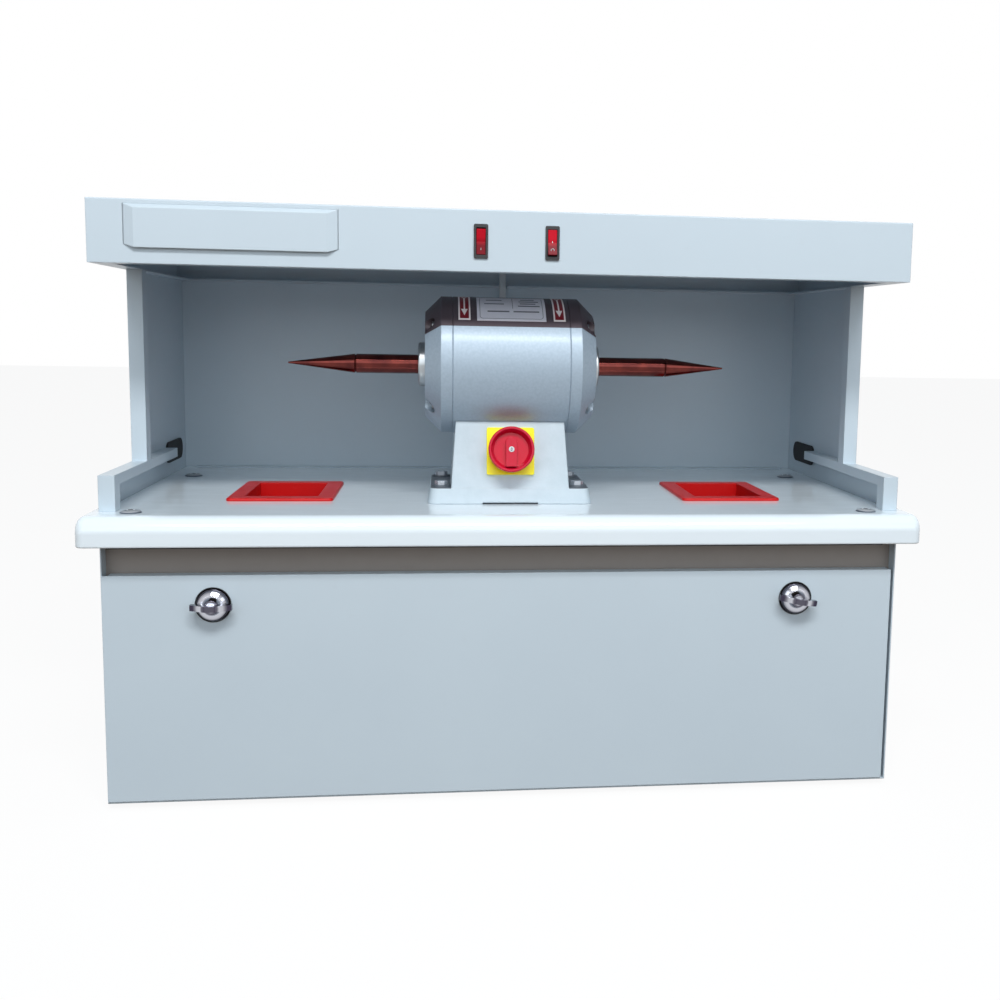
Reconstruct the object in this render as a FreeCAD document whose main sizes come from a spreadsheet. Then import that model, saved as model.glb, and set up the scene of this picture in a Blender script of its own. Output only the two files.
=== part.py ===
import FreeCAD, Part
import os
import re
import Sketcher

# Bench polishing lathe with hood, splash chutes and a drawer, in millimetres.
# Origin at the middle of the base on the bench, X to the right, Y to the back, Z up.

os.makedirs("parts", exist_ok=True)
doc = FreeCAD.newDocument("polishing_lathe")

# Driving dimensions
sizes = {
    # cabinet, worktop and drawer
    "sheet": 1.2,
    "foot_height": 6,
    "foot_radius": 13,
    "foot_inset": 42,
    "foot_draft": 2,
    "cabinet_height": 252,
    "cabinet_back_gap": 16,
    "cabinet_flange": 44,
    "cabinet_lip": 14,
    "base_lip": 18,
    "worktop_width": 800,
    "worktop_overhang": 15,
    "worktop_depth": 400,
    "worktop_thick": 28,
    "worktop_nose": 15,
    "worktop_under_nose": 1.5,
    "worktop_end": 8,
    "front_setback": 26,
    "front_margin": 0.4,
    "front_reveal": 4.5,
    "front_drop": 31,
    "lip_inset": 6,
    "front_lip": 12,
    "front_gap": 0.5,
    "front_under": 2,
    "rail_leaf": 35,
    "rail_shelf": 26,
    "rail_clearance": 1.5,
    "box_wall": 1,
    "box_room": 26.8,
    "box_height": 118,
    "box_lift": 6,
    "runner_stop": 21.3,
    "runner_height": 24,
    "runner_room": 13,
    "runner_rise": 62,
    "slide_clearance": 0.4,
    "washer_radius": 10,
    "washer_height": 1.6,
    "washer_crown": 2.5,
    "screw_radius": 4.2,
    "screw_shank": 2.2,
    "screw_left": 27.5,
    "screw_right": 32,
    "screw_front": 32,
    "screw_rear": 94,
    "screw_clearance": 0.3,
    # red chutes in the worktop
    "chute_inset": 167.5,
    "chute_width": 105,
    "chute_depth": 136,
    "chute_front": 101.5,
    "chute_rim": 16,
    "chute_lip": 3,
    "chute_corner": 5,
    "chute_wall": 2,
    "chute_drop": 58,
    "chute_taper": 9,
    "chute_clearance": 0.5,
    # side panels, back panel, hood
    "panel_inset": 13,
    "rail_front": 35.4,
    "rail_height": 34,
    "rail_stop": 5,
    "panel_flange": 15,
    "rail_lip": 10,
    "return_lip": 17,
    "post_front": 155,
    "grommet_rear": 29,
    "grommet_length": 74,
    "grommet_height": 18,
    "grommet_middle": 27,
    "grommet_edge": 3,
    "grommet_proud": 2,
    "hood_overhang": 5,
    "hood_front": 42.4,
    "hood_rise": 229,
    "hood_height": 58.2,
    "hood_flange": 18,
    "scoop_inset": 32,
    "scoop_width": 193,
    "scoop_top": 283,
    "scoop_height": 37,
    "scoop_proud": 3.5,
    "scoop_slant": 10,
    "scoop_fall": 4,
    "scoop_hang": 3,
    "switch_spread": 34,
    "switch_side": 0.8,
    "switch_rise": 257.5,
    "bezel_width": 13.4,
    "bezel_height": 32.2,
    "bezel_corner": 1.4,
    "bezel_proud": 1.6,
    "switch_width": 12.4,
    "switch_height": 28,
    "switch_depth": 21,
    "well_depth": 7,
    "rocker_width": 8.4,
    "rocker_height": 23.6,
    "rocker_swing": 8,
    "rocker_crown": 3.2,
    "rocker_axle": 3,
    "rocker_clearance": 0.35,
    "rocker_play": 1,
    "rocker_pivot": 1.6,
    "axle_radius": 1,
    "axle_fit": 0.05,
    "axle_bite": 1,
    "lamp_radius": 8,
    "lamp_start": 51,
    "lamp_inset": 53,
    "lamp_setback": 78,
    "lamp_drop": 16,
    "holder_width": 12,
    "holder_depth": 22,
    "trunk_width": 8,
    "trunk_depth": 7,
    "trunk_offset": 4.5,
    "trunk_gap": 1,
    # pedestal and isolator switch
    "flange_width": 166,
    "flange_depth": 121,
    "flange_height": 16,
    "flange_corner": 9,
    "flange_draft": 3,
    "column_base_width": 119,
    "column_base_depth": 114,
    "column_top_width": 110,
    "column_top_depth": 86,
    "column_top": 82.5,
    "casting_wall": 7,
    "cavity_top": 59,
    "relief_width": 56,
    "relief_height": 1.6,
    "bolt_spread": 139,
    "bolt_pitch": 80,
    "bolt_radius": 4,
    "bolt_head": 6.5,
    "bolt_head_height": 4,
    "nut_height": 5,
    "pad_radius": 9.5,
    "pad_height": 1.5,
    "isolator_rise": 52.7,
    "plate_size": 48,
    "plate_thick": 2.5,
    "plate_corner": 2,
    "knob_radius": 23,
    "knob_height": 19,
    "knob_flare": 0.8,
    "knob_rim": 3.4,
    "knob_slope": 2.2,
    "knob_dish": 8,
    "knob_web": 2,
    "grip_width": 11,
    "grip_top": 12.5,
    "grip_proud": 6.5,
    "grip_round": 5,
    "knob_gap": 0.5,
    "isolator_shaft": 3,
    "isolator_bore": 6,
    "isolator_block": 34,
    "isolator_depth": 24,
    "isolator_lower": 12,
    "isolator_fit": 0.05,
    "isolator_entry": 8,
    "capacitor_radius": 15,
    "capacitor_length": 52,
    "capacitor_gap": 0.3,
    # motor and spindles
    "motor_radius": 70,
    "motor_y": 140,
    "motor_side": 2,
    "motor_rise": 138,
    "seam_spread": 59,
    "rim_spread": 70,
    "bell_spread": 86,
    "bell_end_radius": 54,
    "bell_wall": 5,
    "shell_wall": 6,
    "seam_groove": 1.2,
    "cradle_gap": 0.1,
    "cap_radius": 22.5,
    "cap_proud": 7,
    "cap_depth": 3,
    "bearing_radius": 20,
    "bearing_width": 12,
    "bearing_bore": 8.55,
    "shaft_radius": 8.5,
    "tail_radius": 6,
    "tail_length": 34,
    "pocket_circle": 56,
    "pocket_radius": 7.5,
    "pocket_floor": 75,
    "bell_screw_head": 4.2,
    "bell_screw_height": 4,
    "bell_screw_shank": 2,
    "bell_screw_end": 2,
    "core_length": 64,
    "air_gap": 0.6,
    "rotor_radius": 36,
    "core_gap": 0.2,
    "winding_inner": 41,
    "winding_outer": 59,
    "winding_length": 17,
    "spindle_radius": 9.8,
    "spindle_neck": 8.8,
    "spindle_tip": 0.8,
    "step_left": 158,
    "step_right": 166.6,
    "reach_left": 225,
    "reach_right": 229,
    "spindle_gap": 0.6,
    "groove_width": 2,
    "groove_depth": 1,
    "badge_width": 69,
    "badge_arc": 46,
    "badge_thick": 0.5,
    "badge_tilt": 30.5,
    "gland_radius": 9,
    "gland_bore": 4,
    "gland_proud": 14,
    "gland_lip": 2,
    "gland_inset": 110,
    "gland_rise": 40,
    # latches
    "latch_inset": 102.5,
    "latch_side": 1.5,
    "latch_drop": 87,
    "latch_ring": 16,
    "latch_ring_proud": 2.5,
    "barrel_radius": 9,
    "nut_radius": 13,
    "nut_thick": 4,
    "dome_radius": 14.5,
    "dome_crown": 2,
    "dome_proud": 8,
    "dome_step": 9,
    "dome_step_proud": 13,
    "wing_length": 38,
    "wing_thick": 5.5,
    "wing_tip": 5,
    "wing_shoulder": 11,
    "wing_sweep": 4,
    "wing_proud": 21,
    "latch_shaft": 3.5,
    "latch_bore": 3.55,
    "latch_gap": 0.4,
    "cam_reach": 33,
    "cam_width": 13,
    "cam_thick": 2.5,
    "cam_clearance": 1.2,
    "latch_right_turn": 10,
    "cut_over": 5,
}
# Sizes that follow from the driving ones, with a named clearance or inset
tied = {
    "cabinet_width": "worktop_width - 2*worktop_overhang",
    "panel_width": "worktop_width - 2*panel_inset",
    "hood_width": "panel_width + 2*hood_overhang",
    "screw_back": "worktop_depth - screw_rear",
    "chute_spread": "worktop_width/2 - chute_inset",
    "grommet_start": "worktop_depth - grommet_rear - grommet_length",
    "rail_end": "grommet_start - rail_stop",
    "scoop_left": "hood_width/2 - scoop_inset",
    "lamp_length": "hood_width/2 - lamp_inset - lamp_start",
    "lamp_spread": "lamp_start + lamp_length/2",
    "latch_spread": "cabinet_width/2 - latch_inset",
}
cells = {**sizes, **{alias: "=" + rule for alias, rule in tied.items()}}
sheet = doc.addObject("Spreadsheet::Sheet", "Sizes")
for row, (alias, value) in enumerate(cells.items(), start=1):
    sheet.set(f"A{row}", alias)
    sheet.set(f"B{row}", str(value))
    sheet.setAlias(f"B{row}", alias)
doc.recompute()


# Expression helpers

def bound(expression):
    """Write every size named in an expression as a cell of the sheet."""
    pattern = r"[a-z_]+\b(?!\()"
    return re.sub(pattern, lambda word: "Sizes." + word[0] if word[0] in cells else word[0],
                  str(expression))


def number(expression):
    return float(sheet.evalExpression(bound(expression)))


def turn(thing, axis, degrees, centre=("0", "0", "0")):
    """Turn a finished piece about an axis through a point given in named sizes."""
    thing.Placement.Rotation = FreeCAD.Rotation(FreeCAD.Vector(*axis), 0)
    thing.setExpression("Placement.Rotation.Angle", bound(degrees))
    place(thing, *centre)


def place(thing, x="0", y="0", z="0"):
    for letter, value in zip("xyz", (x, y, z)):
        thing.setExpression("Placement.Base." + letter, bound(value))


# Part design helpers

def body(label):
    piece = doc.addObject("PartDesign::Body", label)
    piece.Label = label
    return piece


def datum(piece, role):
    return next(item for item in piece.Origin.OriginFeatures if item.Role == role)


def sketch(piece, plane, at, *loops):
    """Draw closed outlines on a plane of the body, every point tied to named sizes.

    A loop is a list of corner points, or a tuple of circle centre and radius."""
    drawing = piece.newObject("Sketcher::SketchObject", piece.Label + "_sketch")
    drawing.AttachmentSupport = [(datum(piece, plane + "_Plane"), "")]
    drawing.MapMode = "FlatFace"
    away = "-1" if plane == "XZ" else "1"
    drawing.setExpression("AttachmentOffset.Base.z", bound(f"{away}*({at})"))
    for loop in loops:
        if isinstance(loop, tuple):
            circle(drawing, *loop)
        else:
            polygon(drawing, loop)
    return drawing


def tie(drawing, kind, geometry, corner, expression):
    if corner is None:
        rule = drawing.addConstraint(Sketcher.Constraint(kind, geometry, number(expression)))
    else:
        rule = drawing.addConstraint(
            Sketcher.Constraint(kind, -1, 1, geometry, corner, number(expression)))
    drawing.setExpression(f"Constraints[{rule}]", bound(expression))


def polygon(drawing, points):
    first = drawing.GeometryCount
    corners = [FreeCAD.Vector(number(x), number(y), 0) for x, y in points]
    for start, end in zip(corners, corners[1:] + corners[:1]):
        drawing.addGeometry(Part.LineSegment(start, end))
    for index, (x, y) in enumerate(points):
        line = first + index
        following = first + (index + 1) % len(points)
        drawing.addConstraint(Sketcher.Constraint("Coincident", line, 2, following, 1))
        tie(drawing, "DistanceX", line, 1, x)
        tie(drawing, "DistanceY", line, 1, y)


def circle(drawing, x, y, radius):
    centre = FreeCAD.Vector(number(x), number(y), 0)
    ring = drawing.addGeometry(Part.Circle(centre, FreeCAD.Vector(0, 0, 1), number(radius)))
    tie(drawing, "DistanceX", ring, 3, x)
    tie(drawing, "DistanceY", ring, 3, y)
    tie(drawing, "Radius", ring, None, radius)


def rectangle(x_low, x_high, y_low, y_high):
    return [(x_low, y_low), (x_high, y_low), (x_high, y_high), (x_low, y_high)]


def pad(piece, drawing, length, toward=1):
    feature = piece.newObject("PartDesign::Pad", piece.Label + "_pad")
    feature.Profile = drawing
    feature.setExpression("Length", bound(length))
    feature.Reversed = (toward < 0) != on_front_plane(drawing)
    return feature


def pocket(piece, drawing, length, toward=1):
    feature = piece.newObject("PartDesign::Pocket", piece.Label + "_pocket")
    feature.Profile = drawing
    feature.setExpression("Length", bound(length))
    feature.Reversed = (toward > 0) != on_front_plane(drawing)
    return feature


def on_front_plane(drawing):
    return drawing.AttachmentSupport[0][0].Role == "XZ_Plane"


def revolve(piece, drawing, axis):
    feature = piece.newObject("PartDesign::Revolution", piece.Label + "_turned")
    feature.Profile = drawing
    feature.ReferenceAxis = (datum(piece, axis + "_Axis"), [""])
    feature.Angle = 360
    return feature


def loft(piece, first, last, cut=False):
    kind = "PartDesign::SubtractiveLoft" if cut else "PartDesign::AdditiveLoft"
    feature = piece.newObject(kind, piece.Label + "_loft")
    feature.Profile = first
    feature.Sections = [(last, [""])]
    feature.Ruled = True
    return feature


def soften(piece, radius, chosen, kind="Fillet"):
    """Round the edges of the last feature for which chosen(edge) holds."""
    doc.recompute()
    base = piece.Tip
    names = [f"Edge{count}" for count, edge in enumerate(base.Shape.Edges, start=1) if chosen(edge)]
    feature = piece.newObject("PartDesign::" + kind, piece.Label + "_edge")
    feature.Base = (base, names)
    feature.setExpression("Radius" if kind == "Fillet" else "Size", bound(radius))
    return feature


def upright(edge):
    box = edge.BoundBox
    return max(box.XLength, box.YLength) < NEAR < box.ZLength


def lengthwise(edge):
    box = edge.BoundBox
    return max(box.XLength, box.ZLength) < NEAR < box.YLength


def at_level(edge, axis, expression):
    box = edge.BoundBox
    low = getattr(box, axis + "Min")
    high = getattr(box, axis + "Max")
    return abs(low - number(expression)) < NEAR and abs(high - number(expression)) < NEAR


NEAR = number("sheet") / 20

# Levels and faces that several pieces share
base_floor = "foot_height"
cabinet_top = "(foot_height + cabinet_height)"
worktop_top = "(foot_height + cabinet_height + worktop_thick)"
worktop_front = "(-worktop_depth/2)"
drawer_face = "(-worktop_depth/2 + front_setback)"
drawer_back_face = "(-worktop_depth/2 + front_setback + sheet)"
carcass_front = "(-worktop_depth/2 + front_setback + sheet + front_gap)"
carcass_back = "(worktop_depth/2 - cabinet_back_gap)"
rail_face = "(-worktop_depth/2 + rail_front)"
post_face = "(-worktop_depth/2 + post_front)"
fascia = "(-worktop_depth/2 + hood_front)"
hood_low = f"({worktop_top} + hood_rise)"
hood_high = f"({worktop_top} + hood_rise + hood_height)"
motor_line_x = "(-motor_side)"
motor_line_y = "(-worktop_depth/2 + motor_y)"
motor_line_z = f"({worktop_top} + motor_rise)"
latch_level = f"({worktop_top} - latch_drop)"
barrel = "(2*sheet + front_gap + front_lip + rail_clearance + cam_clearance - latch_gap)"


# Cabinet carcass

def rubber_feet():
    feet = []
    for x, y in ((x, y) for x in ("-1", "1") for y in ("-1", "1")):
        cone = doc.addObject("Part::Cone", "foot")
        cone.setExpression("Radius1", bound("foot_radius - foot_draft"))
        cone.setExpression("Radius2", bound("foot_radius"))
        cone.setExpression("Height", bound("foot_height"))
        place(cone, f"{x}*(cabinet_width/2 - foot_inset)",
              f"{y}*(worktop_depth/2 - front_setback - foot_inset)", "0")
        feet.append(cone)
    gather("rubber_feet", feet)


def base_pan():
    pan = body("base_pan")
    half = "(cabinet_width/2 - sheet)"
    floor = sketch(pan, "XY", base_floor,
                   rectangle(f"-{half}", half, carcass_front, f"{carcass_back} - sheet"))
    pad(pan, floor, "sheet")
    for side in ("-1", "1"):
        inner = f"{side}*({half} - sheet)"
        outer = f"{side}*{half}"
        wall = sketch(pan, "XY", base_floor,
                      rectangle(inner, outer, f"{carcass_front} + front_lip",
                                f"{carcass_back} - 2*sheet - front_gap"))
        pad(pan, wall, "base_lip")


def cabinet_side(side, label):
    panel = body(label)
    outer = f"{side}*cabinet_width/2"
    inner = f"{side}*(cabinet_width/2 - sheet)"
    wall = sketch(panel, "XY", base_floor, rectangle(outer, inner, carcass_front, carcass_back))
    pad(panel, wall, "cabinet_height")
    holes = [(x, y, "screw_shank + screw_clearance") for x, y in worktop_screw_places("screw_back", [side])]
    shelf = sketch(panel, "XY", f"{cabinet_top} - sheet",
                   rectangle(inner, f"{side}*(cabinet_width/2 - cabinet_flange)",
                             f"{carcass_front} + rail_shelf + front_lip", f"{carcass_back} - sheet"), *holes)
    pad(panel, shelf, "sheet")
    lip = sketch(panel, "XY", "foot_height + sheet",
                 rectangle(inner, f"{side}*(cabinet_width/2 - cabinet_lip)",
                           f"{carcass_back} - 2*sheet", f"{carcass_back} - sheet"))
    pad(panel, lip, "cabinet_height - 2*sheet")


def cabinet_back():
    panel = body("cabinet_back")
    half = "(cabinet_width/2 - sheet)"
    wall = sketch(panel, "XZ", carcass_back,
                  rectangle(f"-{half}", half, base_floor, cabinet_top),
                  ("cabinet_width/2 - gland_inset", "foot_height + gland_rise", "gland_radius*3/4"))
    pad(panel, wall, "sheet", toward=-1)


def front_rail():
    rail = body("front_rail")
    half = "(cabinet_width/2 - sheet)"
    face = f"({carcass_front} + front_lip + rail_clearance)"
    leaf = sketch(rail, "XY", f"{cabinet_top} - rail_leaf",
                  rectangle(f"-{half}", half, face, f"{face} + sheet"))
    pad(rail, leaf, "rail_leaf")
    holes = [(x, y, "screw_shank + screw_clearance") for x, y in worktop_screw_places("screw_front")]
    shelf = sketch(rail, "XY", f"{cabinet_top} - sheet",
                   rectangle(f"-{half}", half, carcass_front,
                             f"{face} + rail_shelf - rail_clearance"), *holes)
    pad(rail, shelf, "sheet")


def cable_gland():
    gland = body("cable_gland")
    ring = "(gland_radius*3/4)"
    profile = sketch(gland, "XY", "0", [
        ("gland_bore", "-gland_proud/2"),
        (f"{ring}", "-gland_proud/2"),
        (f"{ring}", "0"),
        ("gland_radius", "0"),
        ("gland_radius", "gland_proud/2"),
        ("gland_bore + gland_lip", "gland_proud"),
        ("gland_bore", "gland_proud")])
    revolve(gland, profile, "Y")
    place(gland, "cabinet_width/2 - gland_inset", carcass_back, "foot_height + gland_rise")


# Worktop and its red chutes

def worktop():
    board = body("worktop")
    half = "(worktop_width/2)"
    side = sketch(board, "YZ", f"-{half}",
                  rectangle(worktop_front, "worktop_depth/2", cabinet_top, worktop_top))
    pad(board, side, "worktop_width")
    soften(board, "worktop_nose",
           lambda edge: at_level(edge, "Z", worktop_top) and at_level(edge, "Y", worktop_front))
    for end in (f"-{half}", half):
        soften(board, "worktop_end",
               lambda edge: at_level(edge, "Z", worktop_top) and at_level(edge, "X", end))
    soften(board, "worktop_under_nose",
           lambda edge: at_level(edge, "Z", cabinet_top) and at_level(edge, "Y", worktop_front))
    cuts = [chute_hole(hand, "chute_clearance") for hand in ("-1", "1")]
    cuts += [(x, y, "screw_shank + screw_clearance")
             for back in ("screw_front", "screw_back") for x, y in worktop_screw_places(back)]
    cuts += [(x, y, "bolt_radius + screw_clearance") for x, y in pedestal_bolt_places(motor_line_x)]
    openings = sketch(board, "XY", worktop_top, *cuts)
    pocket(board, openings, "worktop_thick + cut_over", toward=-1)


def chute_hole(hand, gap):
    """Outline of the chute's throat where it passes through the worktop."""
    half = f"(chute_width/2 - chute_rim + chute_wall + {gap})"
    near = f"({worktop_front} + chute_front + chute_rim - chute_wall - {gap})"
    far = f"({worktop_front} + chute_front + chute_depth - chute_rim + chute_wall + {gap})"
    return rectangle(f"{hand}*chute_spread - {half}", f"{hand}*chute_spread + {half}", near, far)


def worktop_screw_places(back, hands=("-1", "1")):
    inset = {"-1": "screw_left", "1": "screw_right"}
    return [(f"{hand}*(cabinet_width/2 - {inset[hand]})", f"{worktop_front} + {back}") for hand in hands]


def pedestal_bolt_places(middle):
    return [(f"{middle} + {x}*bolt_spread/2", f"{motor_line_y} + {y}*bolt_pitch/2")
            for x in ("-1", "1") for y in ("-1", "1")]


def worktop_screws():
    group = []
    length = "(worktop_thick + sheet)"
    for x, y in worktop_screw_places("screw_front") + worktop_screw_places("screw_back"):
        screw = body("screw_in_cup")
        profile = sketch(screw, "XZ", "0", [
            ("0", f"-{length}"),
            ("screw_shank", f"-{length}"),
            ("screw_shank", "0"),
            ("washer_radius", "0"),
            ("washer_radius - washer_height", "washer_height"),
            ("screw_radius", "washer_crown"),
            ("0", "washer_crown")])
        revolve(screw, profile, "Z")
        place(screw, x, y, worktop_top)
        group.append(screw)
    gather("worktop_screws", group)


def gather(label, pieces):
    group = doc.addObject("Part::Compound", label)
    group.Links = pieces
    group.Label = label


def chute(hand, label):
    funnel = body(label)
    middle = f"({hand}*chute_spread)"
    half = "(chute_width/2)"
    near = f"({worktop_front} + chute_front)"
    far = f"({worktop_front} + chute_front + chute_depth)"

    def ring(level, inset):
        return sketch(funnel, "XY", level,
                      rectangle(f"{middle} - {half} + {inset}", f"{middle} + {half} - ({inset})",
                                f"{near} + {inset}", f"{far} - ({inset})"))

    outside = "chute_rim - chute_wall"
    pad(funnel, ring(worktop_top, "0"), "chute_lip")
    soften(funnel, "chute_corner", upright)
    soften(funnel, "chute_lip/2",
           lambda edge: at_level(edge, "Z", f"{worktop_top} + chute_lip"))
    pad(funnel, ring(worktop_top, outside), "worktop_thick", toward=-1)
    loft(funnel, ring(cabinet_top, outside),
         ring(f"{worktop_top} - chute_drop", f"{outside} + chute_taper"))
    pocket(funnel, ring(f"{worktop_top} + chute_lip", "chute_rim"),
           "chute_lip + worktop_thick", toward=-1)
    loft(funnel, ring(cabinet_top, "chute_rim"),
         ring(f"{worktop_top} - chute_drop", "chute_rim + chute_taper"), cut=True)


# Side panels, back panel and hood

def side_panel(side, label):
    panel = body(label)
    outer = f"{side}*panel_width/2"
    inner = f"{side}*(panel_width/2 - sheet)"
    edge = f"{side}*(panel_width/2 - panel_flange)"
    edge_inner = f"{side}*(panel_width/2 - panel_flange + sheet)"
    rail_top = f"({worktop_top} + rail_height)"
    back = "(worktop_depth/2)"
    direction = 1 if side == "-1" else -1
    web = sketch(panel, "YZ", outer, [
        (rail_face, worktop_top),
        (back, worktop_top),
        (back, hood_low),
        (post_face, hood_low),
        (post_face, rail_top),
        (rail_face, rail_top)])
    pad(panel, web, "sheet", toward=direction)
    rail_front_flange = sketch(panel, "XY", worktop_top,
                               rectangle(inner, edge, rail_face, f"{rail_face} + sheet"))
    pad(panel, rail_front_flange, "rail_height")
    rail_return = sketch(panel, "XY", worktop_top,
                         rectangle(edge, edge_inner, f"{rail_face} + sheet", f"{rail_face} + return_lip"))
    pad(panel, rail_return, "rail_height - sheet")
    rail_end_y = f"({worktop_front} + rail_end)"
    rail_top_flange = sketch(panel, "XY", f"{rail_top} - sheet",
                             rectangle(inner, edge, f"{rail_face} + sheet", rail_end_y))
    pad(panel, rail_top_flange, "sheet")
    rail_top_lip = sketch(panel, "XY", f"{rail_top} - rail_lip",
                          rectangle(edge, edge_inner, f"{rail_face} + return_lip", rail_end_y))
    pad(panel, rail_top_lip, "rail_lip - sheet")
    post_flange = sketch(panel, "XY", rail_top, rectangle(inner, edge, post_face, f"{post_face} + sheet"))
    pad(panel, post_flange, "hood_rise - rail_height")
    post_return = sketch(panel, "XY", rail_top,
                         rectangle(edge, edge_inner, f"{post_face} + sheet", f"{post_face} + return_lip"))
    pad(panel, post_return, "hood_rise - rail_height")
    top_flange = sketch(panel, "XY", f"{hood_low} - sheet",
                        rectangle(inner, edge, f"{post_face} + return_lip", f"{back} - 2*sheet"))
    pad(panel, top_flange, "sheet")
    middle = f"({worktop_top} + grommet_middle)"
    start = f"({worktop_front} + grommet_start)"
    long_hole(panel, pocket, outer, start, middle, "(grommet_height/2)", "sheet", direction)


def long_hole(piece, tool, x, start, level, radius, length, direction):
    """Pad or cut an oblong with round ends, drawn on a side plane."""
    near = f"({start} + grommet_height/2)"
    far = f"({start} + grommet_length - grommet_height/2)"
    middle = rectangle(near, far, f"{level} - {radius}", f"{level} + {radius}")
    tool(piece, sketch(piece, "YZ", x, middle), length, toward=direction)
    for end in (near, far):
        tool(piece, sketch(piece, "YZ", x, (end, level, radius)), length, toward=direction)


def side_grommets():
    pieces = []
    for side in ("-1", "1"):
        plug = body("side_grommet")
        direction = 1 if side == "-1" else -1
        outer = f"{side}*(panel_width/2 + grommet_proud)"
        inner = f"{side}*(panel_width/2 - sheet)"
        middle = f"({worktop_top} + grommet_middle)"
        start = f"({worktop_front} + grommet_start)"
        long_hole(plug, pad, outer, start, middle, "(grommet_height/2 - cradle_gap)",
                  "sheet + 2*grommet_proud", direction)
        long_hole(plug, pad, inner, start, middle, "(grommet_height/2 + grommet_edge)",
                  "grommet_proud", direction)
        pieces.append(plug)
    gather("side_grommets", pieces)


def back_panel():
    panel = body("back_panel")
    half = "(panel_width/2 - sheet)"
    wall = sketch(panel, "XZ", "worktop_depth/2",
                  rectangle(f"-{half}", half, worktop_top, f"{hood_low}"))
    pad(panel, wall, "sheet", toward=-1)
    for level, grow in ((worktop_top, 1), (hood_low, -1)):
        lip = sketch(panel, "XY", level,
                     rectangle(f"-({half} - panel_flange)", f"{half} - panel_flange",
                               "worktop_depth/2 - panel_flange", "worktop_depth/2 - sheet"))
        pad(panel, lip, "sheet", toward=grow)
    pocket(panel, trunk_notch(panel, f"{hood_low} - sheet", "panel_flange"), "sheet", toward=1)


def trunk_notch(piece, level, depth):
    """Gap in a flange where the cable trunking passes up into the hood."""
    half = "(trunk_width/2 + trunk_gap)"
    return sketch(piece, "XY", level,
                  rectangle(f"trunk_offset - {half}", f"trunk_offset + {half}",
                            f"worktop_depth/2 - {depth}", "worktop_depth/2 - sheet"))


def hood_shell():
    hood = body("hood_shell")
    half = "(hood_width/2)"
    back = "(worktop_depth/2)"

    def ring(level, inset):
        outside = rectangle(f"-{half}", half, fascia, back)
        inside = rectangle(f"-({half} - {inset})", f"{half} - {inset}",
                           f"{fascia} + {inset}", f"{back} - {inset}")
        return sketch(hood, "XY", level, outside, inside)

    pad(hood, ring(hood_low, "hood_flange"), "sheet")
    pad(hood, ring(f"{hood_low} + sheet", "sheet"), "hood_height - 2*sheet")
    roof = sketch(hood, "XY", f"{hood_high} - sheet", rectangle(f"-{half}", half, fascia, back))
    pad(hood, roof, "sheet")
    cuts = []
    for hand in ("-1", "1"):
        middle = f"{hand}*switch_spread - switch_side"
        gap = "rocker_clearance/2"
        cuts.append(rectangle(f"{middle} - switch_width/2 - {gap}", f"{middle} + switch_width/2 + {gap}",
                              f"{worktop_top} + switch_rise - switch_height/2 - {gap}",
                              f"{worktop_top} + switch_rise + switch_height/2 + {gap}"))
    pocket(hood, sketch(hood, "XZ", fascia, *cuts), "sheet", toward=1)
    pocket(hood, trunk_notch(hood, hood_low, "hood_flange"), "sheet", toward=1)
    soften(hood, "sheet", lambda edge: at_level(edge, "Z", hood_high) and at_level(edge, "Y", fascia))


def hood_scoop():
    scoop = body("hood_scoop")
    left = "(-scoop_left)"
    right = "(-scoop_left + scoop_width)"
    top = f"({worktop_top} + scoop_top)"
    low = f"({worktop_top} + scoop_top - scoop_height)"
    front = f"({fascia} - scoop_proud)"

    def frame(y, slant, fall, hang, skin, below):
        return sketch(scoop, "XZ", y,
                      rectangle(f"{left} + {slant} + {skin}", f"{right} - {slant} - {skin}",
                                f"{low} - {hang} - {below}", f"{top} - {fall} - {skin}"))

    loft(scoop, frame(fascia, "0", "0", "0", "0", "0"),
         frame(front, "scoop_slant", "scoop_fall", "scoop_hang", "0", "0"))
    loft(scoop, frame(f"{fascia} + sheet", "0", "0", "0", "sheet", "cut_over"),
         frame(f"{front} + sheet", "scoop_slant", "scoop_fall", "scoop_hang", "sheet", "cut_over"), cut=True)


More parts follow.
